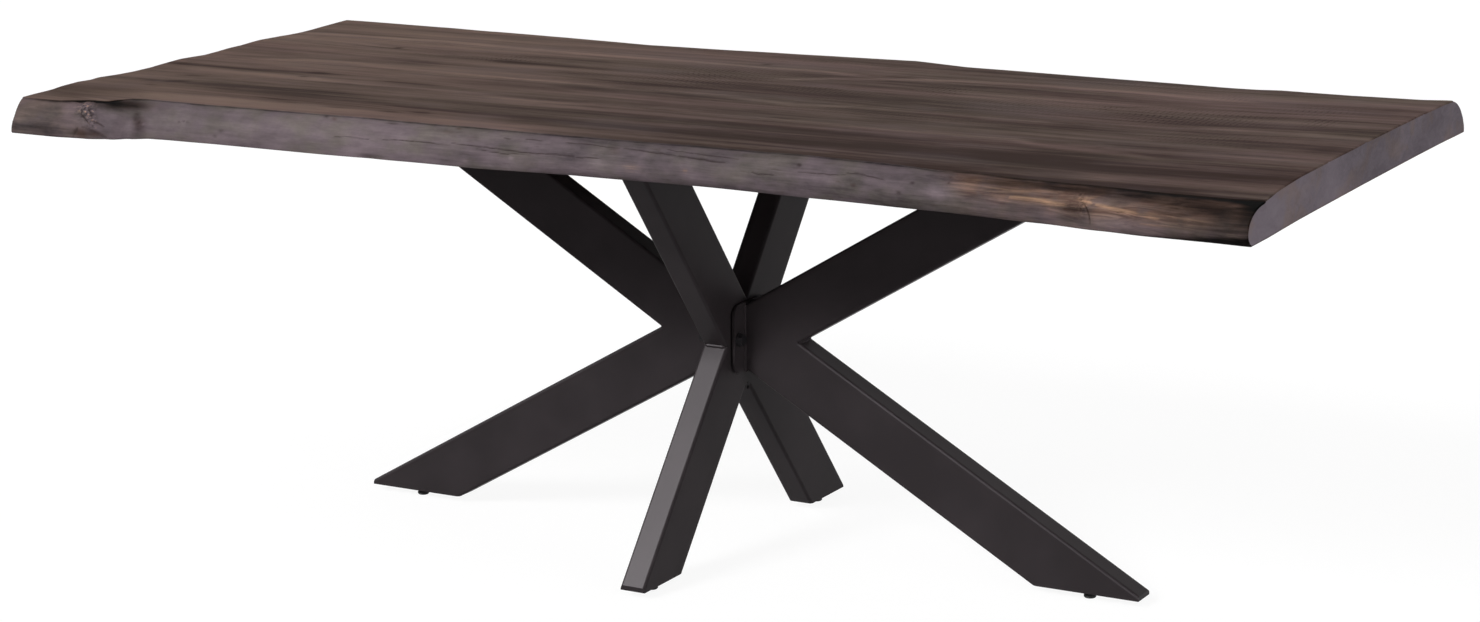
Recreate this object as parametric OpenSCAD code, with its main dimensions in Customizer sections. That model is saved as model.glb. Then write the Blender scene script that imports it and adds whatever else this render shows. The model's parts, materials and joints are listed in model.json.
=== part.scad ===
// Dining table: a live-edge plank top on a steel spider base with four levelling feet.
// Millimetres, +Z up. The origin is on the floor under the middle of the top; +X runs along it.

/* [Table] */
// Height of the top's upper face above the floor
table_h = 760; // [720:5:800]
// Length of the top at its longest
top_l = 2200; // [2000:10:2400]
// Nominal width of the top, from which both live edges are set out
top_w = 1000; // [940:10:1100]
// Thickness of the planks
top_t = 60; // [50:1:70]
// How much the left saw cut leans out of square over the width
left_skew = 36; // [0:1:60]
// How much the right saw cut leans out of square over the width
right_skew = 12; // [0:1:60]

/* [Planks] */
// Distance of the middle glue joint from the middle of the top
mid_joint_y = 0; // [-15:1:15]
// Width of the front one of the two middle planks
mid_front_w = 170; // [155:1:180]
// Width of the back one of the two middle planks
mid_back_w = 290; // [270:1:305]
// Height of the fullest line of the live edges above the underside
edge_belly = 10; // [8:1:24]
// Width of the rounding along the back live edge
back_round = 50; // [40:1:80]

/* [Arms] */
// Width of the arm tube, in the plane of its frame
arm_w = 98; // [90:1:105]
// Depth of the arm tube, across its frame
arm_d = 45; // [40:1:50]
// Wall of the arm tube
arm_wall = 3; // [2:0.5:4]
// Outer corner radius of the arm tube
arm_r = 5; // [4.5:0.5:8]
// Place of the hub along the top, from the middle of the top
hub_x = 24; // [0:1:40]
// Place of the hub across the top, from the middle of the top
hub_y = -5; // [-10:1:10]

/* [Side frames] */
// Distance from the hub to the inner corner of the right and left frames
side_corner_r = 131; // [120:1:140]
// Height of that corner above the floor
side_corner_z = 365; // [355:1:375]
// Reach of the right and left frames at the underside of the top
side_top_r = 694; // [640:1:740]
// Reach of the right and left frames at the foot, with a sharp tip
side_foot_r = 749; // [700:1:800]

/* [Cross frames] */
// Distance from the hub to the inner corner of the front and back frames
cross_corner_r = 68; // [66:1:76]
// Height of that corner above the floor
cross_corner_z = 356; // [350:1:365]
// Reach of the front and back frames at the underside of the top
cross_top_r = 339; // [325:1:350]
// Reach of the front and back frames at the foot, with a sharp tip
cross_foot_r = 350; // [340:1:370]

/* [Hub plates] */
// Thickness of each bolted plate at the hub
flange_t = 4; // [3:0.5:5]
// How far the bolted plates stand out on each side of the arm tube
flange_ear = 35; // [34:1:40]
// How far the outer plates stand past the arms above and below
flange_lip = 4; // [2:1:8]
// Corner radius of the bolted plates
flange_r = 20; // [12:1:24]
// How far the inner plates are set back from the rim of the outer ones
flange_step = 6; // [2:1:8]
// Diameter of the hub bolts
hub_bolt_d = 12; // [10:1:12]

/* [Top plates] */
// Thickness of the plates that carry the top
plate_t = 6; // [4:1:8]
// Width of those plates across their frame
plate_w = 110; // [100:1:120]
// How far those plates run past the arm at each end
plate_lip = 16; // [12:1:20]
// Distance of the top bolts from the rim of the plates
bolt_inset = 15; // [14:1:18]
// Diameter of the top bolts
top_bolt_d = 8; // [6:1:8]
// Length of the threaded inserts in the planks
insert_l = 25; // [18:1:35]

/* [Feet] */
// Height of the arms' lower ends above the floor
foot_gap = 12; // [11:0.5:16]
// Height of the blunt nose at each foot
nose_h = 8; // [6.5:0.5:12]
// Thickness of the plate that closes each foot
foot_plate_t = 4; // [3:0.5:5]
// Diameter of the levelling pads
pad_d = 20; // [18:1:26]
// Height of the levelling pads
pad_h = 6; // [5:0.5:8]
// Diameter of the levelling screws
stud_d = 8; // [8:1:10]
// How far a levelling foot screws out
foot_travel = 10; // [6:1:12]

/* [Hidden] */
$fn = 48;

wood_colour = "#4b413d";
steel_colour = "#232122";
zinc_colour = "#9a9a98";
pad_colour = "#161616";

// Running clearance of the levelling screws, on the radius
run_gap = 0.05;
// Clearance of bolts in their holes, on the radius
hole_gap = 0.5;
// Clearance of an insert, bush or nut beside the steel or wood it sits in
seat_gap = 0.05;
washer_t = 2.5;
// Longer than any piece, for the blocks that make the saw cuts
far = 4000;

// Live edges, set out from half the nominal width. Each row is the share of the length from the
// left end, then how far the underside, the fullest line and the flat top reach past that line.
front_edge = [
    [0.000, 19, 25, -14],
    [0.045, 19, 25, -14],
    [0.070, 12, 19, -12],
    [0.090, -1, 6, -46],
    [0.103, -19, -12, -66],
    [0.117, -35, -29, -70],
    [0.135, -38, -33, -74],
    [0.182, -41, -36, -75],
    [0.266, -41, -36, -77],
    [0.325, -45, -40, -73],
    [0.360, -46, -42, -73],
    [0.402, -46, -42, -73],
    [0.493, -61, -49, -70],
    [0.591, -68, -57, -83],
    [0.682, -61, -55, -73],
    [0.768, -51, -36, -60],
    [0.850, -40, -31, -59],
    [0.895, -28, -19, -58],
    [0.930, -20, -9, -57],
    [0.968, -19, 1, -60],
    [1.000, -16, 6, -72]
];
// Share of the length, reach of the flat top, and what the rounding there is wider than back_round
back_flat = [
    [0.000, -30, 0], [0.067, -28, 0], [0.116, -22, -3], [0.192, -28, 0], [0.267, -40, 0],
    [0.317, -52, 0], [0.386, -48, 0], [0.429, -40, 0], [0.493, -30, 0], [0.555, -19, -6],
    [0.604, -48, 0], [0.667, -53, 0], [0.748, -59, 0], [0.828, -69, 0], [0.850, -68, 0],
    [0.866, -60, 0], [0.922, -69, 4], [0.974, -65, 10], [0.990, -50, 17], [1.000, -48, 17]
];
back_edge = [
    for (row = back_flat)
        let (full = row[1] + back_round + row[2])
        [row[0], full - 3, full, row[1]]
];
edge_rings = 56;
arc_steps = 5;
// Squareness of the roundings: 2 is an ellipse, more is boxier
edge_power = 1.9;

under_z = table_h - top_t;
front_joint_y = mid_joint_y - mid_front_w;
back_joint_y = mid_joint_y + mid_back_w;
insert_d = top_bolt_d + 4;
top_bolt_head = top_bolt_d * 1.625;
hub_bolt_head = hub_bolt_d * 1.5;
hub_face_r = arm_d / 2 + 2 * flange_t;
foot_top_z = foot_gap + foot_plate_t;
bush_d = stud_d + 8;
bush_h = 20;
stud_tail = bush_h + foot_travel + 5;
hub_nut_h = hub_bolt_d * 0.85;
hub_bolt_y = arm_d / 2 + flange_ear - flange_r + 5.5;

// One frame: inner corner r and z, reach at the top and at the foot, and where its hub end is cut
side = [side_corner_r, side_corner_z, side_top_r, side_foot_r, hub_face_r];
cross = [cross_corner_r, cross_corner_z, cross_top_r, cross_foot_r, 0];
right_turn = 0;
left_turn = 180;
front_turn = -90;
back_turn = 90;
turns = [right_turn, left_turn, front_turn, back_turn];
function frame_of(turn) = turn == right_turn || turn == left_turn ? side : cross;

// Slope of a frame's upper and lower arms above and below the level, in degrees
function rise(f) = atan2(under_z - f[1], f[2] - f[0]);
function fall(f) = atan2(f[1] - foot_gap, f[3] - f[0]);
// Where the vertical nose and the heel of the foot lie, from the hub
function nose_r(f) = f[3] - nose_h / tan(fall(f));
function heel_r(f) = f[3] - arm_w / sin(fall(f));
function pad_r(f) = (nose_r(f) + heel_r(f)) / 2;
// The arm's ends under the top plate, from the hub
function plate_far_r(f) = f[2] - plate_t / tan(rise(f)) + plate_lip;
function plate_near_r(f) = plate_far_r(f) - arm_w / sin(rise(f)) - 2 * plate_lip;
// Top and bottom of the side frames where the hub plates meet them
flange_top_z = side[1] - (side[0] - side[4]) * tan(rise(side)) + arm_w / cos(rise(side));
flange_bottom_z = side[1] + (side[0] - side[4]) * tan(fall(side)) - arm_w / cos(fall(side));
flange_z = (flange_top_z + flange_bottom_z) / 2;
flange_h = flange_top_z - flange_bottom_z + 2 * flange_lip;

// Saw cuts at the ends of the top, at a distance y from its middle
function left_x(y) = -top_l / 2 + left_skew * (0.5 - y / top_w);
function right_x(y) = top_l / 2 - right_skew * (0.5 + y / top_w);
function along(share, y) = left_x(y) + share * (right_x(y) - left_x(y));

// A live edge's row at any share of the length, eased from one station to the next
function ease(t) = t * t * (3 - 2 * t);
function station(rows, share) =
    [for (i = [0:len(rows) - 2]) if (share <= rows[i + 1][0]) i][0];
function edge_row(rows, share) =
    let (i = station(rows, share), a = rows[i], b = rows[i + 1])
    a + (b - a) * ease((share - a[0]) / (b[0] - a[0]));

// Outline of a plank's end: glue joint, underside, rounded live edge and flat top.
// out is -1 for the front edge and 1 for the back edge.
function live_section(rows, share, joint_y, out) =
    let (
        row = edge_row(rows, share),
        under = top_w / 2 + row[1],
        full = top_w / 2 + row[2],
        flat = top_w / 2 + row[3],
        belly_z = under_z + edge_belly,
        power = 2 / edge_power
    )
    concat(
        [[joint_y, under_z]],
        [for (k = [0:arc_steps]) let (t = 90 * k / arc_steps)
            [out * (under + (full - under) * pow(sin(t), power)),
             belly_z - edge_belly * pow(cos(t), power)]],
        [for (k = [1:arc_steps + 2]) let (t = 90 * k / (arc_steps + 2))
            [out * (flat + (full - flat) * pow(cos(t), power)),
             belly_z + (table_h - belly_z) * pow(sin(t), power)]],
        [[joint_y, table_h]]
    );

module live_plank(rows, joint_y, out) {
    shares = [for (i = [0:edge_rings]) i / edge_rings];
    rings = [for (s = shares) [for (p = live_section(rows, s, joint_y, out)) [along(s, p[0]), p[0], p[1]]]];
    n = len(rings[0]);
    last = edge_rings * n;
    walls = [
        for (i = [0:edge_rings - 1], k = [0:n - 1])
            let (a = i * n + k, b = i * n + (k + 1) % n, c = a + n, d = b + n)
            each [[a, c, b], [b, c, d]]
    ];
    caps = concat([for (k = [1:n - 2]) [0, k, k + 1]], [for (k = [1:n - 2]) [last, last + k + 1, last + k]]);
    faces = concat(walls, caps);
    polyhedron(
        points = [for (ring = rings) each ring],
        faces = out > 0 ? faces : [for (f = faces) [f[0], f[2], f[1]]],
        convexity = 6
    );
}

module straight_plank(low_y, high_y) {
    translate([0, 0, under_z])
        linear_extrude(top_t)
            polygon([[left_x(low_y), low_y], [right_x(low_y), low_y],
                     [right_x(high_y), high_y], [left_x(high_y), high_y]]);
}

// Puts a piece that is drawn for the right frame, about the hub, where it belongs
module at_hub(turn) {
    translate([hub_x, hub_y, 0]) rotate([0, 0, turn]) children();
}

// The four bolt places of a frame's top plate
module at_plate_bolts(f) {
    for (r = [plate_near_r(f) + bolt_inset, plate_far_r(f) - bolt_inset], s = [-1, 1])
        translate([r, s * (plate_w / 2 - bolt_inset), 0]) children();
}

module at_all_plate_bolts() {
    for (turn = turns) at_hub(turn) at_plate_bolts(frame_of(turn)) children();
}

module insert_holes() {
    at_all_plate_bolts()
        translate([0, 0, under_z - 1]) cylinder(h = insert_l + 1, d = insert_d + 2 * seat_gap);
}

module plank_front() {
    color(wood_colour) difference() {
        live_plank(front_edge, front_joint_y, -1);
        insert_holes();
    }
}

module plank_back() {
    color(wood_colour) difference() {
        live_plank(back_edge, back_joint_y, 1);
        insert_holes();
    }
}

module plank_mid_front() {
    color(wood_colour) difference() {
        straight_plank(front_joint_y, mid_joint_y);
        insert_holes();
    }
}

module plank_mid_back() {
    color(wood_colour) difference() {
        straight_plank(mid_joint_y, back_joint_y);
        insert_holes();
    }
}

// A rectangle with rounded corners, centred across and standing on its lower side
module rounded_rect(w, h, r) {
    translate([-w / 2 + r, 0]) square([w - 2 * r, h]);
    translate([-w / 2, r]) square([w, h - 2 * r]);
    for (x = [-w / 2 + r, w / 2 - r], y = [r, h - r])
        translate([x, y]) circle(r);
}

// A bar with the tube's outside, or its bore where inset is the wall, along X from -far/2
module tube_bar(inset) {
    translate([-far / 2, 0, inset])
        rotate([90, 0, 90])
            linear_extrude(far) rounded_rect(arm_d - 2 * inset, arm_w - 2 * inset, arm_r - inset);
}

// The line of the upper arm: its lower face runs through the frame's inner corner
module on_upper(f) {
    translate([f[0], 0, f[1]]) rotate([0, -rise(f), 0]) children();
}

// The line of the lower arm: its upper face runs through the frame's inner corner
module on_lower(f) {
    translate([f[0], 0, f[1]]) rotate([0, fall(f), 0]) translate([0, 0, -arm_w]) children();
}

module block(low, high) {
    translate(low) cube(high - low);
}

// All the space above the lower arm's outer face, and all below the upper arm's inner face
module above_lower_arm(f) {
    on_lower(f) block([-far / 2, -arm_d, 0], [far / 2, arm_d, far]);
}

module below_upper_arm(f) {
    on_upper(f) block([-far / 2, -arm_d, -far], [far / 2, arm_d, 0]);
}

// Bolt holes through the cross frames' walls behind the hub plates
module hub_bolt_holes() {
    translate([hub_bolt_y, -arm_d, flange_z])
        rotate([-90, 0, 0]) cylinder(h = 2 * arm_d, d = hub_bolt_d + 2 * hole_gap);
}

module upper_arm(f) {
    color(steel_colour) difference() {
        intersection() {
            on_upper(f) tube_bar(0);
            block([f[4], -arm_d, 0], [far, arm_d, under_z - plate_t]);
            above_lower_arm(f);
        }
        on_upper(f) tube_bar(arm_wall);
        if (f[4] == 0) hub_bolt_holes();
    }
}

module lower_arm(f) {
    color(steel_colour) difference() {
        intersection() {
            on_lower(f) tube_bar(0);
            block([f[4], -arm_d, foot_top_z], [nose_r(f), arm_d, far]);
            below_upper_arm(f);
        }
        intersection() {
            on_lower(f) tube_bar(arm_wall);
            block([0, -arm_d, 0], [nose_r(f) - nose_h, arm_d, far]);
        }
    }
}

module top_plate(f) {
    color(steel_colour) difference() {
        block([plate_near_r(f), -plate_w / 2, under_z - plate_t], [plate_far_r(f), plate_w / 2, under_z]);
        at_plate_bolts(f)
            translate([0, 0, under_z - plate_t - 1])
                cylinder(h = plate_t + 2, d = top_bolt_d + 2 * hole_gap);
    }
}

// The plate across a foot's cut end: a slice of the solid arm with the bush's hole
module foot_plate(f) {
    color(steel_colour) difference() {
        intersection() {
            on_lower(f) tube_bar(0);
            block([0, -arm_d, foot_gap], [nose_r(f), arm_d, foot_top_z]);
        }
        translate([pad_r(f), 0, foot_gap - 1]) cylinder(h = foot_plate_t + 2, d = bush_d + 2 * seat_gap);
    }
}

module foot_bush(f) {
    color(zinc_colour) translate([pad_r(f), 0, foot_gap]) difference() {
        cylinder(h = bush_h, d = bush_d);
        translate([0, 0, -1]) cylinder(h = bush_h + 2, d = stud_d + 2 * run_gap);
    }
}

// A levelling pad: a low round foot with a chamfered rim and a socket for the screw's end
module foot_pad(f) {
    rim = 1.5;
    socket = pad_h / 2;
    color(pad_colour) translate([pad_r(f), 0, 0]) difference() {
        rotate_extrude()
            polygon([[0, 0], [pad_d / 2 - rim, 0], [pad_d / 2, rim], [pad_d / 2, pad_h - rim],
                     [pad_d / 2 - rim, pad_h], [0, pad_h]]);
        translate([0, 0, pad_h - socket]) cylinder(h = socket + 1, d = stud_d + 2 * run_gap);
    }
}

// A levelling screw: its end turns in the pad, a hexagon for the spanner, then the shank
module foot_screw(f) {
    color(zinc_colour) translate([pad_r(f), 0, 0]) {
        translate([0, 0, pad_h / 2]) cylinder(h = foot_gap + stud_tail - pad_h / 2, d = stud_d);
        translate([0, 0, pad_h]) cylinder(h = foot_gap - pad_h, d = stud_d * 1.6, $fn = 6);
    }
}

// A bolted hub plate, between two distances from the hub, set back from the outer rim by step
module flange(near_r, step) {
    w = arm_d + 2 * flange_ear - 2 * step;
    h = flange_h - 2 * step;
    color(steel_colour) difference() {
        translate([near_r, 0, flange_z - h / 2])
            rotate([90, 0, 90]) linear_extrude(flange_t) rounded_rect(w, h, flange_r - step);
        for (s = [-1, 1])
            translate([near_r - 1, s * hub_bolt_y, flange_z])
                rotate([0, 90, 0]) cylinder(h = flange_t + 2, d = hub_bolt_d + 2 * hole_gap);
    }
}

module at_hub_bolts() {
    for (turn = [right_turn, left_turn], s = [-1, 1])
        at_hub(turn) translate([0, s * hub_bolt_y, flange_z]) rotate([0, 90, 0]) children();
}

module hub_bolts() {
    head_r = hub_face_r + washer_t;
    tip_r = arm_d / 2 - arm_wall - hub_nut_h - 1;
    color(zinc_colour) at_hub_bolts() {
        translate([0, 0, tip_r]) cylinder(h = head_r - tip_r, d = hub_bolt_d);
        translate([0, 0, head_r]) cylinder(h = hub_bolt_d * 0.6, d = hub_bolt_head * 1.15, $fn = 6);
    }
}

module hub_washers() {
    color(zinc_colour) at_hub_bolts() translate([0, 0, hub_face_r]) difference() {
        cylinder(h = washer_t, d = 2 * hub_bolt_d);
        translate([0, 0, -1]) cylinder(h = washer_t + 2, d = hub_bolt_d + 2 * hole_gap);
    }
}

module hub_weld_nuts() {
    color(zinc_colour) at_hub_bolts() translate([0, 0, arm_d / 2 - arm_wall - hub_nut_h]) difference() {
        cylinder(h = hub_nut_h, d = hub_bolt_head * 1.15, $fn = 6);
        translate([0, 0, -1]) cylinder(h = hub_nut_h + 2, d = hub_bolt_d + 2 * seat_gap);
    }
}

module top_bolts() {
    seat_z = under_z - plate_t - washer_t;
    color(zinc_colour) at_all_plate_bolts() {
        translate([0, 0, seat_z]) cylinder(h = under_z + insert_l - 5 - seat_z, d = top_bolt_d);
        translate([0, 0, seat_z - top_bolt_d * 0.65])
            cylinder(h = top_bolt_d * 0.65, d = top_bolt_head * 1.15, $fn = 6);
    }
}

module top_washers() {
    color(zinc_colour) at_all_plate_bolts() translate([0, 0, under_z - plate_t - washer_t]) difference() {
        cylinder(h = washer_t, d = 2.25 * top_bolt_d);
        translate([0, 0, -1]) cylinder(h = washer_t + 2, d = top_bolt_d + 2 * hole_gap);
    }
}

module top_inserts() {
    color(zinc_colour) at_all_plate_bolts() translate([0, 0, under_z]) difference() {
        cylinder(h = insert_l, d = insert_d);
        translate([0, 0, -1]) cylinder(h = insert_l + 2, d = top_bolt_d + 2 * seat_gap);
    }
}

module right_upper_arm() { at_hub(right_turn) upper_arm(side); }
module left_upper_arm() { at_hub(left_turn) upper_arm(side); }
module front_upper_arm() { at_hub(front_turn) upper_arm(cross); }
module back_upper_arm() { at_hub(back_turn) upper_arm(cross); }

module right_lower_arm() { at_hub(right_turn) lower_arm(side); }
module left_lower_arm() { at_hub(left_turn) lower_arm(side); }
module front_lower_arm() { at_hub(front_turn) lower_arm(cross); }
module back_lower_arm() { at_hub(back_turn) lower_arm(cross); }

module right_top_plate() { at_hub(right_turn) top_plate(side); }
module left_top_plate() { at_hub(left_turn) top_plate(side); }
module front_top_plate() { at_hub(front_turn) top_plate(cross); }
module back_top_plate() { at_hub(back_turn) top_plate(cross); }

module right_outer_flange() { at_hub(right_turn) flange(arm_d / 2 + flange_t, 0); }
module left_outer_flange() { at_hub(left_turn) flange(arm_d / 2 + flange_t, 0); }
module right_inner_flange() { at_hub(right_turn) flange(arm_d / 2, flange_step); }
module left_inner_flange() { at_hub(left_turn) flange(arm_d / 2, flange_step); }

module right_foot_plate() { at_hub(right_turn) foot_plate(side); }
module left_foot_plate() { at_hub(left_turn) foot_plate(side); }
module front_foot_plate() { at_hub(front_turn) foot_plate(cross); }
module back_foot_plate() { at_hub(back_turn) foot_plate(cross); }

module right_foot_bush() { at_hub(right_turn) foot_bush(side); }
module left_foot_bush() { at_hub(left_turn) foot_bush(side); }
module front_foot_bush() { at_hub(front_turn) foot_bush(cross); }
module back_foot_bush() { at_hub(back_turn) foot_bush(cross); }

module right_foot_pad() { at_hub(right_turn) foot_pad(side); }
module left_foot_pad() { at_hub(left_turn) foot_pad(side); }
module front_foot_pad() { at_hub(front_turn) foot_pad(cross); }
module back_foot_pad() { at_hub(back_turn) foot_pad(cross); }

module right_foot_screw() { at_hub(right_turn) foot_screw(side); }
module left_foot_screw() { at_hub(left_turn) foot_screw(side); }
module front_foot_screw() { at_hub(front_turn) foot_screw(cross); }
module back_foot_screw() { at_hub(back_turn) foot_screw(cross); }

plank_front();
plank_mid_front();
plank_mid_back();
plank_back();
right_upper_arm();
left_upper_arm();
front_upper_arm();
back_upper_arm();
right_lower_arm();
left_lower_arm();
front_lower_arm();
back_lower_arm();
right_top_plate();
left_top_plate();
front_top_plate();
back_top_plate();
right_outer_flange();
left_outer_flange();
right_inner_flange();
left_inner_flange();
hub_bolts();
hub_washers();
hub_weld_nuts();
top_bolts();
top_washers();
top_inserts();
right_foot_plate();
left_foot_plate();
front_foot_plate();
back_foot_plate();
right_foot_bush();
left_foot_bush();
front_foot_bush();
back_foot_bush();
right_foot_pad();
left_foot_pad();
front_foot_pad();
back_foot_pad();
right_foot_screw();
left_foot_screw();
front_foot_screw();
back_foot_screw();
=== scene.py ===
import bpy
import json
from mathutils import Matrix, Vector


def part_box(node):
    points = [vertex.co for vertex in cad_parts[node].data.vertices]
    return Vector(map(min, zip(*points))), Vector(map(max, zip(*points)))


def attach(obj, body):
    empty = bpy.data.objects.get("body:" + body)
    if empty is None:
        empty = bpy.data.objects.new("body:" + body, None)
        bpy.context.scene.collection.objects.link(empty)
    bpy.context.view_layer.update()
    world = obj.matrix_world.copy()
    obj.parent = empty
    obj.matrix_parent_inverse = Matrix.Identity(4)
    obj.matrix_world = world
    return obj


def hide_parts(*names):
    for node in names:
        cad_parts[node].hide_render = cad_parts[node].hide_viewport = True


bl_info = {
    "name": "Live-edge dining table",
    "version": (1, 0, 0),
    "blender": (4, 5, 0),
    "location": "3D View > Sidebar > Table",
    "description": "Dresses a live-edge dining table on a steel spider base in its wood, steel and studio",
    "category": "Add Mesh",
}

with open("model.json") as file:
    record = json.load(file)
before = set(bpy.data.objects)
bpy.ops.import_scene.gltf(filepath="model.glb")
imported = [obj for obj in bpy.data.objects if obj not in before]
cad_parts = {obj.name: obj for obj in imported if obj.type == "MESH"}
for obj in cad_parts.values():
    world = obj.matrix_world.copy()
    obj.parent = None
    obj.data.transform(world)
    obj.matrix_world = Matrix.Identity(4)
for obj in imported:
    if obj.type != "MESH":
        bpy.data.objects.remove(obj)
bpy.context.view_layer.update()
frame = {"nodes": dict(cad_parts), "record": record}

import json
from math import atan2, cos, pi, radians, sin, tan

import bpy
import numpy as np
from bpy.props import FloatProperty, FloatVectorProperty, IntProperty, PointerProperty
from mathutils import Matrix, Vector

# Plan and edge features below are given in millimetres, as a joiner would mark them out
MM = 0.001


def box_low(node):
    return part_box(node)[0]


def box_high(node):
    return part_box(node)[1]


TABLE_H = box_high("plank_mid_front").z
UNDER_Z = box_low("plank_mid_front").z
FRONT_JOINT = box_low("plank_mid_front").y
MID_JOINT = box_high("plank_mid_front").y
BACK_JOINT = box_high("plank_mid_back").y
# The base: the tube's depth and width, and the hub's middle
ARM_D = box_high("right_lower_arm").y - box_low("right_lower_arm").y
ARM_W = 0.098
HUB = ((box_low("front_lower_arm").x + box_high("front_lower_arm").x) / 2,
       (box_low("right_lower_arm").y + box_high("right_lower_arm").y) / 2)


def a_number(name, description, default, **more):
    """A number that the user can change."""
    return FloatProperty(name=name, description=description, default=default, **more)


def a_length(name, description, default):
    """A length in metres."""
    return a_number(name, description, default, unit="LENGTH")


def an_angle(name, description, default):
    """An angle whose default is given in degrees."""
    return a_number(name, description, radians(default), subtype="ANGLE")


def a_colour(name, description, default):
    """A colour as linear red, green and blue."""
    return FloatVectorProperty(name=name, description=description, default=default, subtype="COLOR", size=3)


class TableTopSettings(bpy.types.PropertyGroup):
    length: a_length("Length", "Length of the top at its longest", 2.2)
    width: a_length("Width", "Nominal width, from which both live edges are set out", 1.0)
    left_skew: a_length("Left skew", "How much the left saw cut leans over the width", 0.036)
    right_skew: a_length("Right skew", "How much the right saw cut leans over the width", 0.012)
    lip: a_length("Lip", "Small step where the planed face meets the live edge", 0.0022)
    arris: a_length("Arris", "Radius of the eased corners at the saw cuts", 0.0022)
    station_step: a_length("Station step", "Distance between two sections along the planks", 0.0032)
    row_step: a_length("Row step", "Distance between two rows of the planed face", 0.0058)
    low_columns: IntProperty(
        name="Low columns", description="Columns of a live edge below its fullest line", default=10)
    high_columns: IntProperty(
        name="High columns", description="Columns of a live edge above its fullest line", default=46)
    wood_dark: a_colour("Dark grain", "Colour of the darkest grain", (0.028, 0.0165, 0.0135))
    wood_light: a_colour("Light grain", "Colour of the lightest grain", (0.188, 0.133, 0.115))
    tint_olive: a_colour("Olive tint", "What the upper face is multiplied by in its greener bands",
                         (0.97, 1.01, 0.96))
    tint_plum: a_colour("Plum tint", "What the upper face is multiplied by in its redder bands",
                        (1.03, 0.97, 1.00))
    # Tint that the face takes towards its left end
    tint_tan: a_colour("Tan tint", "What the upper face is multiplied by where it is sunned",
                       (1.05, 1.03, 0.97))
    edge_grey: a_colour("Edge grey", "Lilac grey of the live edges", (0.151, 0.117, 0.130))
    edge_olive: a_colour("Edge olive", "Greener grey of the live edges", (0.136, 0.113, 0.107))
    edge_brown: a_colour("Edge brown", "Brown of the live edge where it is less weathered",
                         (0.205, 0.130, 0.100))
    wood_gold: a_colour("Worn gold", "Golden wood where the stain is rubbed off", (0.40, 0.240, 0.150))
    wood_rust: a_colour("Red brown", "Red-brown wood round knots and bark", (0.078, 0.042, 0.031))
    # Also the colour of the shade painted along the lip
    wood_split_and_shade: a_colour("Splits", "Colour deep in checks and knots", (0.017, 0.0095, 0.0075))
    end_grey: a_colour("End grain", "Purple grey of the saw cuts", (0.146, 0.124, 0.142))
    end_stain: a_colour("End stain", "What the saw cuts are multiplied by in their browner patches",
                        (1.06, 0.97, 0.82))


class SteelSettings(bpy.types.PropertyGroup):
    coat: a_colour("Powder coat", "Colour of the powder coat", (0.0252, 0.0208, 0.0224))
    coat_roughness: FloatProperty(
        name="Coat roughness", description="Roughness of the powder coat", default=0.42, min=0.0, max=1.0)
    bead_radius: a_length("Weld bead", "Radius of the weld beads", 0.0034)
    tube_corner: a_length("Tube corner", "Outside corner radius of the arms' tube", 0.005)
    oxide: a_colour("Black oxide", "Colour of the blackened hub bolts", (0.012, 0.011, 0.012))
    zinc: a_colour("Zinc", "Colour of the zinc plating", (0.42, 0.42, 0.41))
    pad: a_colour("Pad", "Colour of the moulded pads", (0.010, 0.010, 0.010))


class StageSettings(bpy.types.PropertyGroup):
    camera_place: FloatVectorProperty(
        name="Camera place", description="Where the camera stands", subtype="XYZ", size=3,
        default=(2.57295, -4.51245, 1.59470))
    camera_yaw: an_angle("Yaw", "Camera's turn to the left of the table's depth", 29.401)
    camera_pitch: an_angle("Pitch", "Camera's tilt down", 12.983)
    camera_roll: an_angle("Roll", "Camera's roll", -0.6236)
    camera_lens: a_number("Lens", "Focal length in millimetres on a 36 mm wide sensor", 77.838)
    sky: a_number("Sky", "Even light from all round", 0.38)
    key: a_number("Key", "Strength of the soft key light", 2.05)
    gleam: a_number("Gleam", "Strength of the light that only gloss shows", 45.0)
    fill: a_number("Fill", "Strength of the fill light", 0.32)
    low_fill: a_number("Low fill", "Strength of the low light that reaches under the top", 0.92)
    floor_size: a_length("Floor size", "Side of the studio floor", 120.0)


# The live edges' sections. Each row is the share of the length from the left end, how far the
# underside and the fullest line reach past half the nominal width, the height of the fullest
# line over the underside, and the squareness of the section below and above that line.
FRONT_EDGE = [
    (0.0, 23, 25, 3, 1.35, 1.33), (0.04, 23, 25, 3, 1.35, 1.4), (0.07, 16, 19, 5, 1.4, 2.2),
    (0.09, 3, 6, 7, 1.5, 2.1), (0.103, -15, -12, 9, 1.65, 1.9), (0.117, -31, -29, 10, 1.8, 2.0),
    (0.135, -34, -33, 10, 1.9, 2.0), (0.182, -37, -36, 10, 1.9, 2.05), (0.266, -37, -36, 10, 1.9, 2.05),
    (0.325, -41, -40, 10, 1.9, 2.05), (0.36, -43, -42, 10, 1.9, 2.05), (0.402, -43, -42, 10, 1.9, 2.05),
    (0.493, -59, -49, 12, 1.8, 2.05), (0.591, -66, -57, 13, 1.8, 2.05), (0.682, -57, -55, 13, 1.75, 2.05),
    (0.768, -50, -36, 15, 1.7, 2.05), (0.85, -35, -31, 16, 1.7, 2.1), (0.895, -23, -19, 18, 1.65, 2.1),
    (0.93, -16, -9, 19, 1.65, 2.1), (0.968, -16, 1, 20, 1.65, 2.1), (1.0, -13, 6, 20, 1.65, 2.1),
]
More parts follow.
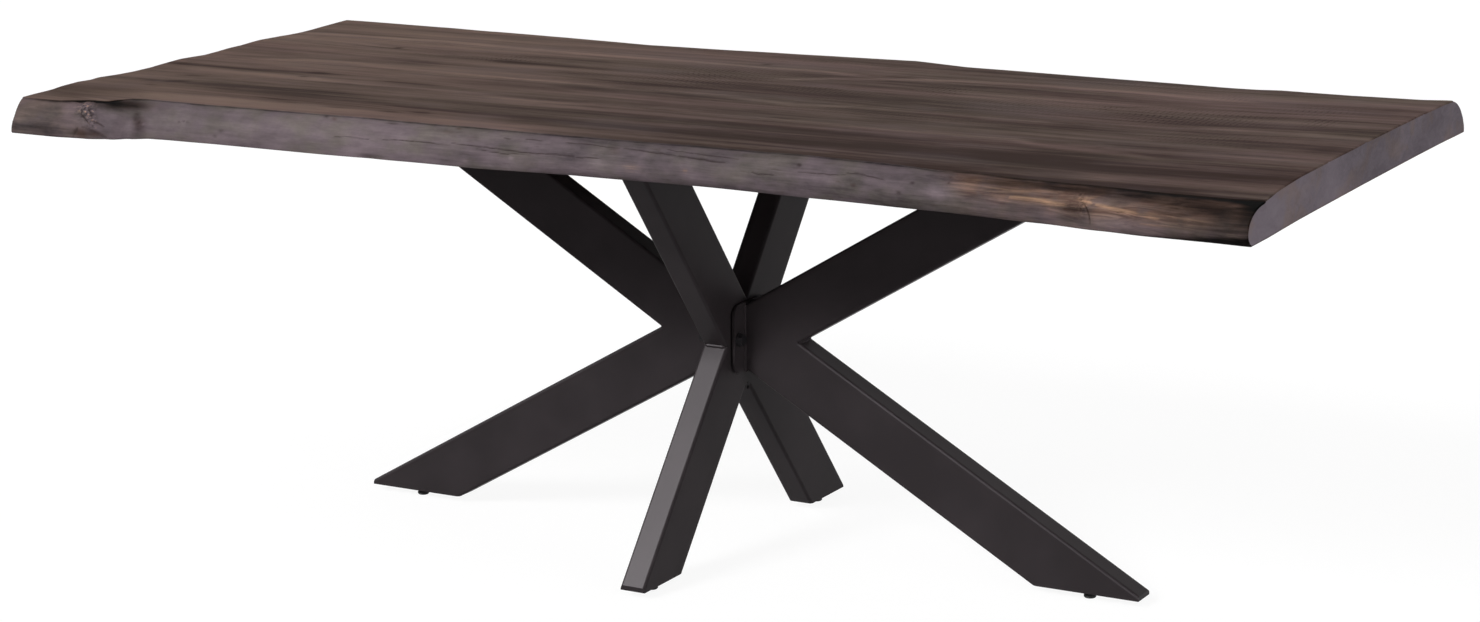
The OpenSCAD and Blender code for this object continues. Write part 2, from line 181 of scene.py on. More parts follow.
# The back edge keeps nearly one section: (share of the length, reach of the fullest line)
BACK_REACH = [
    (0, 20), (0.067, 22), (0.116, 25), (0.192, 22), (0.267, 10), (0.317, -2), (0.386, 2), (0.429, 10),
    (0.493, 20), (0.555, 25), (0.604, 2), (0.667, -3), (0.748, -9), (0.828, -19), (0.85, -18), (0.866, -10),
    (0.922, -15), (0.974, -5),
]
BACK_EDGE = [(share, reach - 3, reach, 4, 1.7, 1.8) for share, reach in BACK_REACH]
BACK_EDGE += [(0.99, 14, 17, 3, 1.7, 1.75), (1, 16, 19, 2, 1.7, 1.7)]

# Marks that the planks' points carry for the wood's material
# The first mark also carries painted light and shade, and the seventh the shade painted along the lip
MARK_NAMES = ("tone", "sawn", "face", "gold", "rust", "pale", "split", "warm", "burl")

# Where the planed face ends: (x, reach past half the nominal width)
FRONT_CREASE = [
    (-1100, -10), (-1040, -7), (-985, -8), (-960, -20), (-940, -29), (-928, -32), (-918, -31), (-909, -31),
    (-902, -35), (-895, -47), (-886, -60), (-878, -68), (-850, -74), (-790, -73), (-750, -72), (-630, -75),
    (-500, -77), (-390, -79), (-280, -75), (-200, -78), (-90, -76), (20, -78), (120, -79), (190, -85),
    (300, -84), (360, -87), (430, -83), (500, -80), (560, -74), (600, -66), (660, -71), (725, -64),
    (790, -59), (880, -59), (940, -53), (1000, -53), (1060, -54), (1094, -61),
]
BACK_CREASE = [
    (-1100, -30), (-953, -28), (-845, -22), (-678, -28), (-513, -40), (-403, -52), (-251, -48), (-156, -40),
    (-15, -30), (121, -19), (229, -48), (367, -53), (546, -59), (722, -69), (770, -68), (805, -60),
    (928, -69), (1043, -65), (1078, -50), (1100, -48),
]

# Heights over the nominal face along the left saw cut, from front to back: (y, height)
LEFT_END_HEIGHTS = [
    (-440, 0.2), (-408, -0.7), (-376, -0.6), (-344, 0.2), (-312, -1.1), (-287, 0.3), (-246, -1.7),
    (-196, -3.1), (-145, -2.8), (-110, -1.5), (-58, 0.2), (-22, -0.8), (13, -2.0), (50, -1.2), (86, 0.3),
    (123, 0.3), (161, 1.8), (190, 2.4), (237, 1.3), (275, 0.1), (314, -0.8), (354, -0.4), (394, 1.0),
    (434, 2.3), (465, 3.3),
]
# Crown of the right saw cut, in the same way, and how far in from the cuts both die out
RIGHT_END_HEIGHTS = [(-439, -0.7), (-399, 1.0), (-284, 5.5), (0, 7), (250, 6), (400, 4), (500, 0)]
END_FADE = 340
CROWN_FADE = 420

# Low ridges with a highlight painted along each: half width, strength and line (x, y) on the top
RIDGES = [
    (9, 1.0, [(-1085, 306), (-850, 320), (-780, 325), (-700, 318), (-600, 308), (-500, 300), (-200, 300),
              (-100, 295), (0, 298), (110, 285)]),
    (10, 0.8, [(-10, 188), (30, 200), (80, 235), (150, 260), (200, 280), (260, 300), (330, 312), (400, 315),
               (600, 315), (700, 308), (820, 298)]),
    (9, 0.55, [(-1090, 240), (-1000, 240), (-900, 235), (-850, 225), (-815, 219)]),
    (9, 0.3, [(-810, 246), (-750, 265), (-690, 282)]),
    (11, 0.7, [(-960, 3), (-850, 25), (-760, 30), (-680, 15), (-600, 10), (-400, 10), (-250, 0), (-200, -10),
               (-100, 0), (0, -2), (50, -15), (150, -30), (200, -20), (250, -5), (400, -10), (610, -14)]),
    (14, 0.3, [(690, 12), (800, 24), (910, 31)]),
    (13, 0.75, [(-1010, -133), (-850, -137), (-750, -148), (-700, -152), (-500, -158), (-370, -162),
                (-300, -180), (-240, -186), (-150, -170), (0, -165), (100, -170), (350, -172), (500, -168),
                (600, -172), (650, -198), (700, -210), (800, -225), (860, -242)]),
    (9, 0.5, [(690, -178), (800, -188), (1000, -190), (1090, -180)]),
    (26, 0.55, [(-900, -392), (-760, -398), (-600, -402), (-400, -408), (-100, -412)]),
    (12, 0.4, [(-600, -372), (-500, -382), (-420, -384)]),
]

# Darker and lighter patches of the top: (x, y, half length, half width, strength) and, where a
# patch isn't level, the rise of its own line over its half length. A negative strength is darker.
PATCHES = [
    (-900, 336, 190, 9, -0.5, 4), (-830, 210, 60, 6, -0.55, -4), (-385, 160, 250, 16, -0.5),
    (-505, 162, 60, 13, -0.6), (-800, 220, 9, 7, -0.9), (-750, -133, 10, 6, -0.9), (-715, -146, 10, 5, 0.7),
    (-95, 327, 10, 7, -0.9), (-750, -85, 24, 13, -0.5), (-1050, -95, 34, 14, -0.45),
    (-905, -110, 140, 13, -0.4, -6), (-540, -114, 70, 14, -0.65, -4), (-940, -195, 26, 8, -0.55),
    (-922, -262, 22, 14, -0.6, 10), (-968, -275, 16, 8, -0.5), (-940, -310, 12, 7, -0.4),
    (-920, -325, 12, 6, -0.4), (-640, -290, 320, 60, -0.34, -10), (-650, -346, 34, 5, -0.8, -3),
    (-600, -366, 26, 4, -0.5), (-500, -375, 30, 5, -0.6), (-400, -370, 22, 6, -0.6),
    (-350, -356, 18, 7, -0.8), (250, -380, 170, 7, -0.5), (330, -330, 80, 7, -0.5), (180, 295, 32, 7, -0.5),
    (300, 55, 300, 24, -0.34), (860, 207, 230, 8, -0.42, 6), (640, 176, 34, 5, -0.45, 10),
    (690, 255, 190, 40, 0.22), (800, -156, 74, 9, -0.45), (1065, -95, 28, 34, -0.3),
    (700, -300, 110, 48, -0.26), (790, 30, 52, 12, -0.35), (200, -157, 34, 5, -0.5),
    (850, -400, 44, 12, 0.42), (1030, -430, 80, 12, 0.42), (-760, -400, 150, 24, 0.42),
    (-1060, 270, 30, 50, 0.25), (-500, 235, 150, 22, -0.2), (-200, 60, 200, 40, -0.18),
    (450, -90, 260, 38, -0.14), (-300, 400, 400, 40, -0.12), (560, 420, 300, 34, -0.14),
    (40, -260, 200, 34, 0.12),
]

# Broad light and shade painted into the top, given in the same way
SHADING = [
    (820, -330, 520, 130, -0.42), (200, -270, 420, 130, -0.3), (0, 0, 520, 170, -0.14),
    (760, -20, 380, 170, -0.1), (950, 420, 260, 90, 0.16), (-950, 180, 240, 260, 0.06),
    (-928, -458, 34, 6, 0.6, -6), (-700, 330, 300, 60, 0.05), (1080, -460, 70, 30, -0.8),
    (980, -435, 90, 30, -0.3), (750, -425, 380, 40, -0.24), (330, -425, 190, 34, -0.2),
    (-560, -350, 240, 30, -0.2), (-200, -350, 240, 40, -0.14), (0, 150, 420, 60, -0.1),
    (400, 360, 240, 70, -0.1), (480, 190, 130, 30, 0.16), (780, 330, 200, 50, 0.12),
    (-740, -440, 250, 15, 0.5), (-600, 250, 420, 200, 0.08), (640, 430, 300, 90, 0.14),
    (-1040, -390, 90, 70, -0.3), (-1000, -446, 90, 26, -0.3), (-925, -378, 120, 26, -0.3),
    (-960, -300, 60, 40, -0.16), (1030, -200, 90, 60, 0.14), (1040, -300, 70, 40, -0.2),
    (1040, 280, 70, 60, -0.15), (-985, -350, 64, 44, -0.28), (-267, 218, 150, 60, -0.1),
    (730, 332, 150, 50, 0.1),
]

# Saw marks across the grain, left by the mill: (x, y, half length, half width, strength)
SAW_MARKS = [
    (-545, 190, 80, 40, 0.9), (-130, 155, 135, 135, 1.0), (310, 195, 48, 48, 0.8), (770, 120, 135, 82, 0.9),
    (770, 325, 34, 36, 0.7), (620, 150, 26, 34, 0.8), (975, 140, 30, 42, 0.9), (-330, 130, 90, 70, 0.4),
    (120, 110, 120, 80, 0.45), (480, 120, 140, 90, 0.5), (-700, 200, 60, 60, 0.3), (930, 240, 70, 60, 0.5),
    (300, -60, 240, 40, 0.25), (860, -60, 120, 60, 0.4), (-60, 380, 160, 50, 0.35),
    (560, 380, 200, 50, 0.4),
]

# The front live edge's own features are placed on an upright sheet along its face, seen from
# where the photograph was taken: (x, z) in millimetres on that sheet.
EDGE_SHEET_Y = -0.480

# Checks in the edge: half width, depth, line
CHECKS = [
    (0.7, 1.2, [(-337, 737), (-317, 738), (-293, 738.3), (-260, 738.8), (-243, 738), (-210, 738)]),
    (0.6, 0.6, [(-430, 735), (-403, 736), (-363, 735)]),
    (0.8, 1.6, [(-208, 742), (-183, 740), (-160, 739.4), (-133, 739.2), (-103, 738.3), (-80, 736.6),
                (-53, 736.8), (-27, 738.8), (17, 737.7)]),
    (0.6, 1.0, [(-163, 735.7), (-133, 733.2), (-107, 732), (-93, 733.4), (-60, 733.4)]),
    (0.6, 0.8, [(-73, 758), (-40, 758)]),
    (0.6, 0.8, [(-110, 757), (-97, 755)]),
    (0.6, 0.8, [(0, 758), (20, 758)]),
    (0.6, 0.8, [(180, 761), (197, 760), (227, 759.3), (247, 758.2), (280, 757.3), (303, 756.2)]),
    (0.8, 1.4, [(103, 756.7), (127, 756.7), (147, 755), (170, 754.4), (197, 753.3)]),
    (1.0, 2.2, [(197, 753.0), (220, 751.8), (240, 751), (260, 749.6), (278, 748.9)]),
    (0.5, 0.6, [(20, 759), (60, 758), (97, 757)]),
    (0.6, 0.8, [(20, 736.7), (63, 739)]),
    (0.9, 1.4, [(323, 739), (333, 736), (360, 738)]),
    (0.6, 0.8, [(353, 746), (373, 746)]),
    (0.7, 1.2, [(400, 745.4), (427, 746), (453, 746), (477, 747.2)]),
    (0.8, 1.4, [(480, 751), (500, 750.6), (517, 749), (543, 745.4)]),
    (1.3, 2.4, [(-951, 736), (-944, 729), (-938, 723), (-931, 717)]),
    (1.2, 1.6, [(-931, 742), (-926, 735), (-925, 728)]),
    (1.4, 1.0, [(-928, 724), (-915, 721), (-900, 715)]),
    (2.6, 1.2, [(-957, 710), (-963, 703), (-969, 694)]),
    (2.8, 1.2, [(-948, 711), (-933, 709), (-920, 704), (-907, 700), (-897, 697)]),
    (0.8, 2.4, [(843, 743), (850, 737), (855, 729), (858, 721), (860, 708)]),
    (0.6, 0.8, [(845, 752), (845, 742)]),
    (0.6, 0.8, [(900, 729.5), (906, 730.5), (914, 729)]),
]

# Low ridges of the edge: half width, height, line
EDGE_RIDGES = [
    (5.0, 2.2, [(-918, 752), (-934, 750), (-945, 742), (-947, 735)]),
    (4.0, 1.8, [(-928, 744), (-932, 734), (-927, 723), (-919, 716)]),
    (6.0, 1.2, [(-962, 706), (-948, 712), (-930, 708)]),
]

# Small knots, chips and specks of the edge, by the mark that they leave:
# (x, z, half length, half height, strength)
SPECKS = {
    "split": [
        (-742, 735, 3, 2, 0.5), (-733, 737, 3, 2, 0.5), (-725, 736, 3, 2, 0.45), (-657, 726, 5, 3, 0.42),
        (-670, 717, 4, 3, 0.4), (-825, 728, 4, 3, 0.5), (-829, 741, 5, 3, 0.4), (-833, 733, 4, 3, 0.4),
        (-445, 766, 5, 2, 0.6), (-318, 764, 15, 2, 0.6), (-365, 708, 22, 4, 0.5), (402, 756, 4, 3, 0.8),
        (585, 744.6, 4, 2, 0.7), (643, 749, 3, 2, 0.6), (563, 728, 4, 3, 0.6),
    ],
    "pale": [
        (-818, 725.5, 4, 2, 0.6), (-183, 715, 6, 3, 0.5), (-99, 727, 6, 3, 0.5), (303, 714, 6, 3, 0.5),
        (56, 732, 17, 11, 0.5), (624, 733, 24, 9, 0.75), (437, 735, 40, 10, 0.3), (383, 744, 26, 8, 0.15),
        (523, 741, 30, 8, 0.15), (-979, 731, 14, 18, 0.14), (-120, 759, 60, 4, 0.22),
        (208, 729, 22, 7, 0.2), (897, 715, 34, 10, 0.16),
    ],
    "gold": [
        (-500, 763, 8, 2, 0.25), (116, 728, 14, 6, 0.25), (210, 731, 4, 3, 0.6), (700, 745, 34, 6, 0.1),
        (1000, 722, 60, 8, 0.12),
    ],
    "rust": [
        (-430, 763, 5, 3, 0.7), (-193, 765, 6, 2, 0.7), (-215, 758, 12, 3, 0.4), (646, 757, 4, 2, 0.8),
        (490, 733, 5, 3, 0.7), (88, 753, 12, 8, 0.35), (-950, 701, 20, 9, 1.0), (-925, 701, 20, 6, 0.8),
        (-935, 757, 40, 4, 0.7), (-827, 727, 13, 14, 0.55), (-856, 757, 60, 9, 1.0),
        (-1000, 757, 70, 6, 1.0), (-930, 757, 50, 7, 1.0), (740, 757, 80, 9, 0.7), (850, 757, 66, 10, 0.85),
        (940, 754, 60, 14, 0.85), (1020, 748, 66, 20, 0.85), (1090, 738, 30, 30, 0.9),
        (905, 752, 36, 7, 0.3), (1056, 736, 60, 26, 0.75), (978, 741, 36, 18, 0.3),
    ],
    "burl": [
        (-937, 741, 18, 16, 1.0), (-926, 723, 12, 12, 0.8), (848, 737, 12, 14, 0.5),
    ],
}

# Lighter and darker parts of the edge: (x, z, half length, half height, strength)
# Among them is shade painted under the crease and in the nose's hollow
EDGE_PATCHES = [
    (-1035, 703, 84, 9, -0.34), (-1105, 735, 16, 30, -0.22), (-1040, 735, 70, 26, -0.08),
    (-979, 726, 22, 26, 0.06), (-878, 760, 20, 6, -0.42), (-865, 757, 36, 7, -0.34),
    (-838, 754, 40, 9, -0.22), (-870, 742, 40, 14, -0.08), (-830, 728, 12, 28, -0.2),
    (-868, 722, 26, 24, 0.05), (-700, 716, 40, 20, 0.05), (-560, 738, 24, 24, -0.08),
    (-640, 752, 60, 8, -0.08), (-390, 726, 30, 30, 0.07), (-300, 712, 60, 8, -0.1),
    (-240, 750, 30, 14, 0.08), (-60, 716, 60, 12, 0.07), (30, 745, 20, 20, -0.08), (150, 722, 26, 24, -0.1),
    (260, 738, 34, 14, 0.06), (330, 716, 26, 16, -0.08), (560, 716, 60, 12, -0.14),
    (600, 752, 34, 7, -0.14), (704, 720, 52, 12, 0.02), (790, 720, 36, 12, 0.06), (833, 724, 22, 17, -0.3),
    (815, 756, 60, 6, -0.16), (880, 750, 22, 10, -0.12), (978, 745, 40, 20, -0.16),
    (1054, 738, 66, 26, -0.3), (745, 758, 70, 8, -0.34), (850, 758, 60, 8, -0.36), (930, 757, 50, 9, -0.34),
    (1010, 752, 50, 9, -0.25), (1000, 712, 70, 3, 0.16), (930, 712, 30, 8, 0.06), (745, 744, 32, 7, -0.2),
    (836, 739, 20, 8, 0.1), (-995, 757, 30, 5, -0.24), (-885, 751, 24, 8, -0.32), (-822, 756, 28, 10, -0.2),
]

# How the edge's tone drifts along its length: (x, tone)
EDGE_TONE = [
    (-1110, -0.17), (-1000, -0.19), (-930, -0.17), (-850, -0.12), (-700, -0.07), (-450, 0.02),
    (-300, -0.03), (-150, -0.15), (-50, -0.19), (120, -0.22), (250, -0.24), (360, -0.24), (560, -0.2),
    (640, -0.18), (720, -0.16), (790, -0.15), (860, -0.08), (980, -0.2), (1100, -0.3),
]
# Width in millimetres of the shade painted in a band under the crease, and how dark it is, along the edge
CREASE_SHADE_WIDTH = [
    (-1060, 2.0), (-990, 3.0), (-940, 5.0), (-915, 8.5), (-890, 5.0), (-860, 2.2), (-500, 2.1), (300, 2.3),
    (640, 2.8), (800, 4), (900, 5.5), (960, 7), (1010, 9), (1050, 12), (1080, 16), (1100, 20),
]
CREASE_SHADE_STRENGTH = [
    (-1060, 0.3), (-990, 0.44), (-930, 0.66), (-905, 0.7), (-885, 0.5), (-850, 0.36), (-500, 0.36),
    (300, 0.42), (640, 0.46), (800, 0.44), (920, 0.46), (970, 0.66), (1020, 0.84), (1100, 0.9),
]

# Worn golden streaks: (half width, strength, line)
GOLD_STREAKS = [
    (2.4, 1.0, [(738, 736.5), (761, 737.2), (783, 735.8), (800, 733.5), (822, 731.8)]),
    (1.8, 0.9, [(841, 743.2), (850, 741.5), (862, 738.6)]),
    (1.0, 0.4, [(843, 743), (867, 748), (880, 755)]),
    (1.8, 0.9, [(868, 737.4), (886, 735), (903, 732.5), (915, 731), (931, 729.4)]),
    (1.6, 0.7, [(931, 729), (947, 727.2), (962, 725)]),
    (1.0, 0.4, [(933, 716), (983, 716)]),
    (1.2, 0.4, [(700, 748), (740, 746), (790, 750), (830, 752)]),
    (1.2, 0.35, [(670, 757), (720, 756), (800, 758)]),
    (1.2, 0.35, [(940, 733), (990, 730), (1040, 727)]),
    (1.0, 0.30, [(960, 747), (1000, 744), (1030, 741)]),
]

# How many checks the back edge has, one in each 150 mm
BACK_CHECKS = 14

# Where the shade painted on the nose's top and along the edge's underside begins, as (x, z)
NOSE_TOP_SHADE = [
    (-1060, 757.5), (-1022, 755.5), (-987, 754.8), (-965, 753.4), (-946, 750.8), (-930, 753.2),
    (-918, 753.8), (-893, 755),
]
SHADE_ALONG_BOTTOM = [(925, 698), (947, 700), (983, 703), (1000, 704), (1033, 706), (1077, 709), (1100, 710)]
# Stretches of the front edge: (x where a feature begins to show or fade, x where it has)
WARM = (618, 684)
WARM_TO_BOTTOM = (690, 780)
LEFT_WARM_ENDS = (-1010, -900)
BOTTOM_SHADE = (890, 1010)
CORNER_SHADE = (1060, 1108)
NOSE_SHADOW = (-1060, -985)
NOSE_SHADOW_ENDS = (-900, -884)
CREASE_SHADE_BEGINS = (-1075, -1035)
LIP_SHADOW = (-1075, -1020)
LIP_DARKER = (600, 900)
# Where the warmer left part of the planed face gives way, in metres
FACE_WARM_ENDS = (-0.75, 0.15)
# About how far inside the nominal width the crease lies, and the face that is divided into rows
CREASE_INSET = 0.06
FACE_INSET = 0.07
# How far in from the crease the lip's columns stand, and where the rows of the face begin
LIP_IN = (0.0005, 0.0009, 0.0018)
ROWS_IN = 0.0035
# Shares of the length where the front edge needs closer stations
FRONT_FINE = [(0.058, 0.098), (0.884, 0.896)]


def ease(t):
    """The CAD's easing from one station to the next."""
    return t * t * (3 - 2 * t)


def step_up(value, low, high):
    """0 below low, 1 above high, and smooth between them."""
    return ease(np.clip((value - low) / (high - low), 0, 1))


def lattice(column, row, seed):
    """A repeatable number from 0 to 1 for each crossing of a grid."""
    turned = np.sin(column * 127.1 + row * 311.7 + seed * 74.7) * 43758.5453
    return turned - np.floor(turned)


def swell(x, y, seed):
    """Smooth noise from -1 to 1 with about one swell to a unit."""
    column, row = np.floor(x), np.floor(y)
    u, v = ease(x - column), ease(y - row)
    near = lattice(column, row, seed) * (1 - u) + lattice(column + 1, row, seed) * u
    beyond = lattice(column, row + 1, seed) * (1 - u) + lattice(column + 1, row + 1, seed) * u
    return 2 * (near * (1 - v) + beyond * v) - 1


def edge_rows(rows, shares):
    """The columns of a live edge's rows at the given shares of the length."""
    rows = np.array(rows, float)
    i = np.clip(np.searchsorted(rows[:, 0], shares) - 1, 0, len(rows) - 2)
    t = ease((shares - rows[i, 0]) / (rows[i + 1, 0] - rows[i, 0]))[:, None]
    return (rows[i, 1:] + (rows[i + 1, 1:] - rows[i, 1:]) * t).T


def top_settings():
    return bpy.context.scene.table_top


def left_x(y):
    """Where the left saw cut is at y."""
    top = top_settings()
    return -top.length / 2 + top.left_skew * (0.5 - y / top.width)


def right_x(y):
    """Where the right saw cut is at y."""
    top = top_settings()
    return top.length / 2 - top.right_skew * (0.5 + y / top.width)


def near_line(x, z, points):
    """Distance in millimetres of every (x, z) to a line, and how far along it, from 0 to 1."""
    points = np.array(points, float)
    pieces = np.diff(points, axis=0)
    lengths = np.hypot(pieces[:, 0], pieces[:, 1])
    begun = np.concatenate([[0], np.cumsum(lengths)]) / lengths.sum()
    best = np.full(x.shape, np.inf)
    share = np.zeros(x.shape)
    for i, (px, pz) in enumerate(points[:-1]):
        dx, dz = pieces[i]
        t = np.clip(((x - px) * dx + (z - pz) * dz) / lengths[i] ** 2, 0, 1)
        distance = np.hypot(x - px - t * dx, z - pz - t * dz)
        closer = distance < best
        best = np.where(closer, distance, best)
        share = np.where(closer, begun[i] + t * (begun[i + 1] - begun[i]), share)
    return best, share


def stroke(x, z, points, half_width):
    """1 on a line, fading to 0 past its half width, and thinner towards its ends."""
    points = np.array(points, float)
    margin = half_width * 3
    low, high = points.min(0) - margin, points.max(0) + margin
    inside = (x > low[0]) & (x < high[0]) & (z > low[1]) & (z < high[1])
    made = np.zeros(x.shape)
    if inside.any():
        distance, share = near_line(x[inside], z[inside], points)
        taper = 0.45 + 0.55 * np.sqrt(np.clip(4 * share * (1 - share), 0, 1))
        made[inside] = (0.4 + 0.6 * taper) * (1 - step_up(distance, 0, half_width * taper * 2.1))
    return made


def spots(x, z, rows):
    """The soft oval patch of each row (x, z, half length, half height, strength and any lean)."""
    for at_x, at_z, half_length, half_height, strength, *lean in rows:
        along = (x - at_x) / half_length
        across = (z - at_z - sum(lean) * along) / half_height
        yield strength * np.exp(-1.2 * (along ** 2 + across ** 2))


def ridge_lines(x, y):
    """Height that the top's low ridges add at (x, y) in millimetres, and the highlight painted along them.
    """
    height, ridge_highlight = np.zeros(x.shape), np.zeros(x.shape)
    for half_width, strength, line in RIDGES:
        xs, ys = np.array(line, float).T
        past = y - np.interp(x, xs, ys) - 2.5 * swell(x / 70, y / 400, half_width)
        window = step_up(x, xs[0] - 30, xs[0] + 50) * (1 - step_up(x, xs[-1] - 50, xs[-1] + 30))
        rise = step_up(past, -half_width, half_width) * np.exp(-np.clip(past, 0, None) / 70)
        height += strength * window * rise
        ridge_highlight += strength * window * np.exp(-(past / half_width) ** 2)
    return height, ridge_highlight


def roll_off(y):
    """How far the planed face falls away towards the front live edge, in millimetres."""
    return 3.5 * step_up(-y, 370, 450) + 0.03 * np.clip(-y - 450, 0, None)


def top_height(x, y):
    """Height of the planed face over its nominal level, in metres."""
    x, y = x / MM, y / MM
    left = along_line(y, LEFT_END_HEIGHTS)
    crown = along_line(y, RIGHT_END_HEIGHTS)
    from_left = x + top_settings().length / 2 / MM
    from_right = top_settings().length / 2 / MM - x
    undulation = 0.35 * swell(x / 260, y / 55, 1) + 0.2 * swell(x / 90, y / 23, 2)
    made = left * (1 - step_up(from_left, 20, END_FADE)) + crown * (1 - step_up(from_right, 10, CROWN_FADE))
    return (made + 1.1 * ridge_lines(x, y)[0] + undulation - roll_off(y)) * MM


def hollow_under(x, y):
    """How far the planks' undersides are cupped at the right saw cut, in metres."""
    crown = along_line(y / MM, RIGHT_END_HEIGHTS)
    from_right = top_settings().length / 2 / MM - x / MM
    return 0.42 * np.clip(crown, 0, None) * (1 - step_up(from_right, 10, CROWN_FADE - 100)) * MM


def top_marks(x, y):
    """The top's tone with its painted light and shade, about 0, and how strongly the saw marked it, from (x,
    y) in millimetres.
    """
    # The ridges' painted highlight, then the patches and the painted light and shade of the top
    tone = 0.62 * ridge_lines(x, y)[1]
    for made in spots(x, y, PATCHES + SHADING):
        tone += made
    sawn = np.zeros(x.shape)
    for made in spots(x, y, SAW_MARKS):
        sawn = np.maximum(sawn, made)
    return tone, sawn


def new_object(name, mesh):
    """Puts a finished mesh into the scene."""
    mesh.update()
    made = bpy.data.objects.new(name, mesh)
    bpy.context.scene.collection.objects.link(made)
    return made


class Plank:
    """One plank as a closed grid: stations along its length, and a ring of points round it."""

    UNDERSIDE, EDGE, FACE, JOINT = range(4)

    def __init__(self, name, node, fine_stretches=()):
        self.name = name
        self.node = node
        self.columns = []
        self.parts = []
        self.share = self.shares(fine_stretches)

    def shares(self, fine_stretches):
        """Shares of the length at which sections stand, closer at the saw cuts and where asked."""
        top = top_settings()
        count = round(top.length / top.station_step)
        made = list(np.linspace(0, 1, count + 1))
        for low, high in fine_stretches:
            made += list(np.arange(low, high, top.station_step / top.length / 3))
        arris = top.arris / top.length
        close = np.array([0.12, 0.35, 0.65, 1.0]) * arris
        made = [s for s in made if 1.3 * arris < s < 1 - 1.3 * arris]
        return np.unique(np.round([0.0, *close, *made, *(1 - close), 1.0], 7))

    def add(self, y, z, part):
        """Adds one column of the grid: its y and z at every station."""
        self.columns.append((np.broadcast_to(y, self.share.shape), np.broadcast_to(z, self.share.shape)))
        self.parts.append(part)

    def grid(self):
        """The plain grid of points, stations by ring, in metres."""
        y = np.stack([c[0] for c in self.columns], 1)
        z = np.stack([c[1] for c in self.columns], 1)
        x = left_x(y) + self.share[:, None] * (right_x(y) - left_x(y))
        return np.stack([x, y, z], 2)

    def outward(self, points):
        """Unit normals of the closed grid, out of the plank."""
        along = np.gradient(points, axis=0)
        around = np.roll(points, -1, 1) - np.roll(points, 1, 1)
        normal = np.cross(around, along)
        normal /= np.linalg.norm(normal, axis=2, keepdims=True) + 1e-12
        middle = points.mean(1, keepdims=True)
        inward = np.sign(((points - middle) * normal).sum(2).mean())
        return normal * inward

    def ease_ends(self, points):
        """Rounds the corners at both saw cuts."""
        top = top_settings()
        end = np.minimum(self.share, 1 - self.share) * top.length
        short = np.clip(top.arris - end, 0, None)
        inset = top.arris - np.sqrt(np.clip(top.arris ** 2 - short ** 2, 0, None))
        points = points.copy()
        ring = np.roll(points, -1, 1)[:, :, 1:] - np.roll(points, 1, 1)[:, :, 1:]
        ring /= np.linalg.norm(ring, axis=2, keepdims=True) + 1e-12
        side = np.stack([ring[:, :, 1], -ring[:, :, 0]], 2)
        middle = points[:, :, 1:].mean(1, keepdims=True)
        side *= np.sign(((points[:, :, 1:] - middle) * side).sum(2).mean())
        parts = np.array(self.parts)
        points[:, :, 1] -= inset[:, None] * side[:, :, 0] * (parts == self.EDGE)
        points[:, :, 2] -= inset[:, None] * side[:, :, 1] * (parts != self.JOINT)
        return points

    def build(self, points, marks, materials):
        """Makes the object from the finished grid and its marks, a number for each point."""
        stations, ring = points.shape[:2]
        index = np.arange(stations * ring).reshape(stations, ring)
        beside = np.roll(index, -1, 1)
        quads = np.stack([index[:-1], beside[:-1], beside[1:], index[1:]], 2).reshape(-1, 4)
        first, last = index[0], index[-1]
        if self.turning(points[stations // 2]) > 0:
            quads, last = quads[:, ::-1], last[::-1]
        else:
            first = first[::-1]
        mesh = bpy.data.meshes.new(self.name)
        faces = [*quads.tolist(), first.tolist(), last.tolist()]
        mesh.from_pydata(points.reshape(-1, 3).tolist(), [], faces)
        smooth = np.ones(len(mesh.polygons), bool)
        smooth[-2:] = False
        slots = np.zeros(len(mesh.polygons), np.int32)
        slots[-2:] = 1
        mesh.polygons.foreach_set("use_smooth", smooth)
        mesh.polygons.foreach_set("material_index", slots)
        for key, values in marks.items():
            held = mesh.attributes.new(key, "FLOAT", "POINT")
            held.data.foreach_set("value", np.ascontiguousarray(values, np.float32).ravel())
        for material in materials:
            mesh.materials.append(material)
        made = new_object(self.name, mesh)
        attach(made, "table")
        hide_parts(self.node)
        return made

    def turning(self, section):
        """Twice the signed area of a section in the y and z plane."""
        y, z = section[:, 1], section[:, 2]
        return float((y * np.roll(z, -1) - np.roll(y, -1) * z).sum())


def joint_columns(plank, y, upward):
    """Columns up or down the glued side of a plank."""
    levels = np.linspace(UNDER_Z, TABLE_H, 7)[1:-1]
    for z in levels if upward else levels[::-1]:
        plank.add(y, z, Plank.JOINT)


def blank_marks(points):
    """Every mark at 0 on a grid of points."""
    return {name: np.zeros(points.shape[:2]) for name in MARK_NAMES}


def face_marks(marks, points, parts, crest=None):
    """Marks of the planed face, and its waves, which die out down the sides of the plank."""
    x, y = points[:, :, 0], points[:, :, 1]
    marks["tone"], marks["sawn"] = top_marks(x / MM, y / MM)
    marks["face"][:] = parts != Plank.EDGE
    marks["warm"] = 1 - step_up(x, *FACE_WARM_ENDS)
    height = top_height(x, y)
    if crest is not None:
        edge = parts == Plank.EDGE
        height[:, edge] = top_height(x[:, crest], y[:, crest])[:, None]
    over = np.clip((points[:, :, 2] - UNDER_Z) / (TABLE_H - UNDER_Z), 0, 1)
    points[:, :, 2] += height * over ** 2 + hollow_under(x, y) * (1 - over) ** 2


def middle_plank(name, node, low_y, high_y, materials):
    """A straight plank between two glue joints."""
    plank = Plank(name, node)
    rows = max(6, round((high_y - low_y) / top_settings().row_step))
    for y in np.linspace(high_y, low_y, 7):
        plank.add(y, UNDER_Z, Plank.UNDERSIDE)
    joint_columns(plank, low_y, True)
    for y in np.linspace(low_y, high_y, rows + 1):
        plank.add(y, TABLE_H, Plank.FACE)
    joint_columns(plank, high_y, False)
    points = plank.grid()
    marks = blank_marks(points)
    face_marks(marks, points, np.array(plank.parts))
    return plank.build(plank.ease_ends(points), marks, materials)


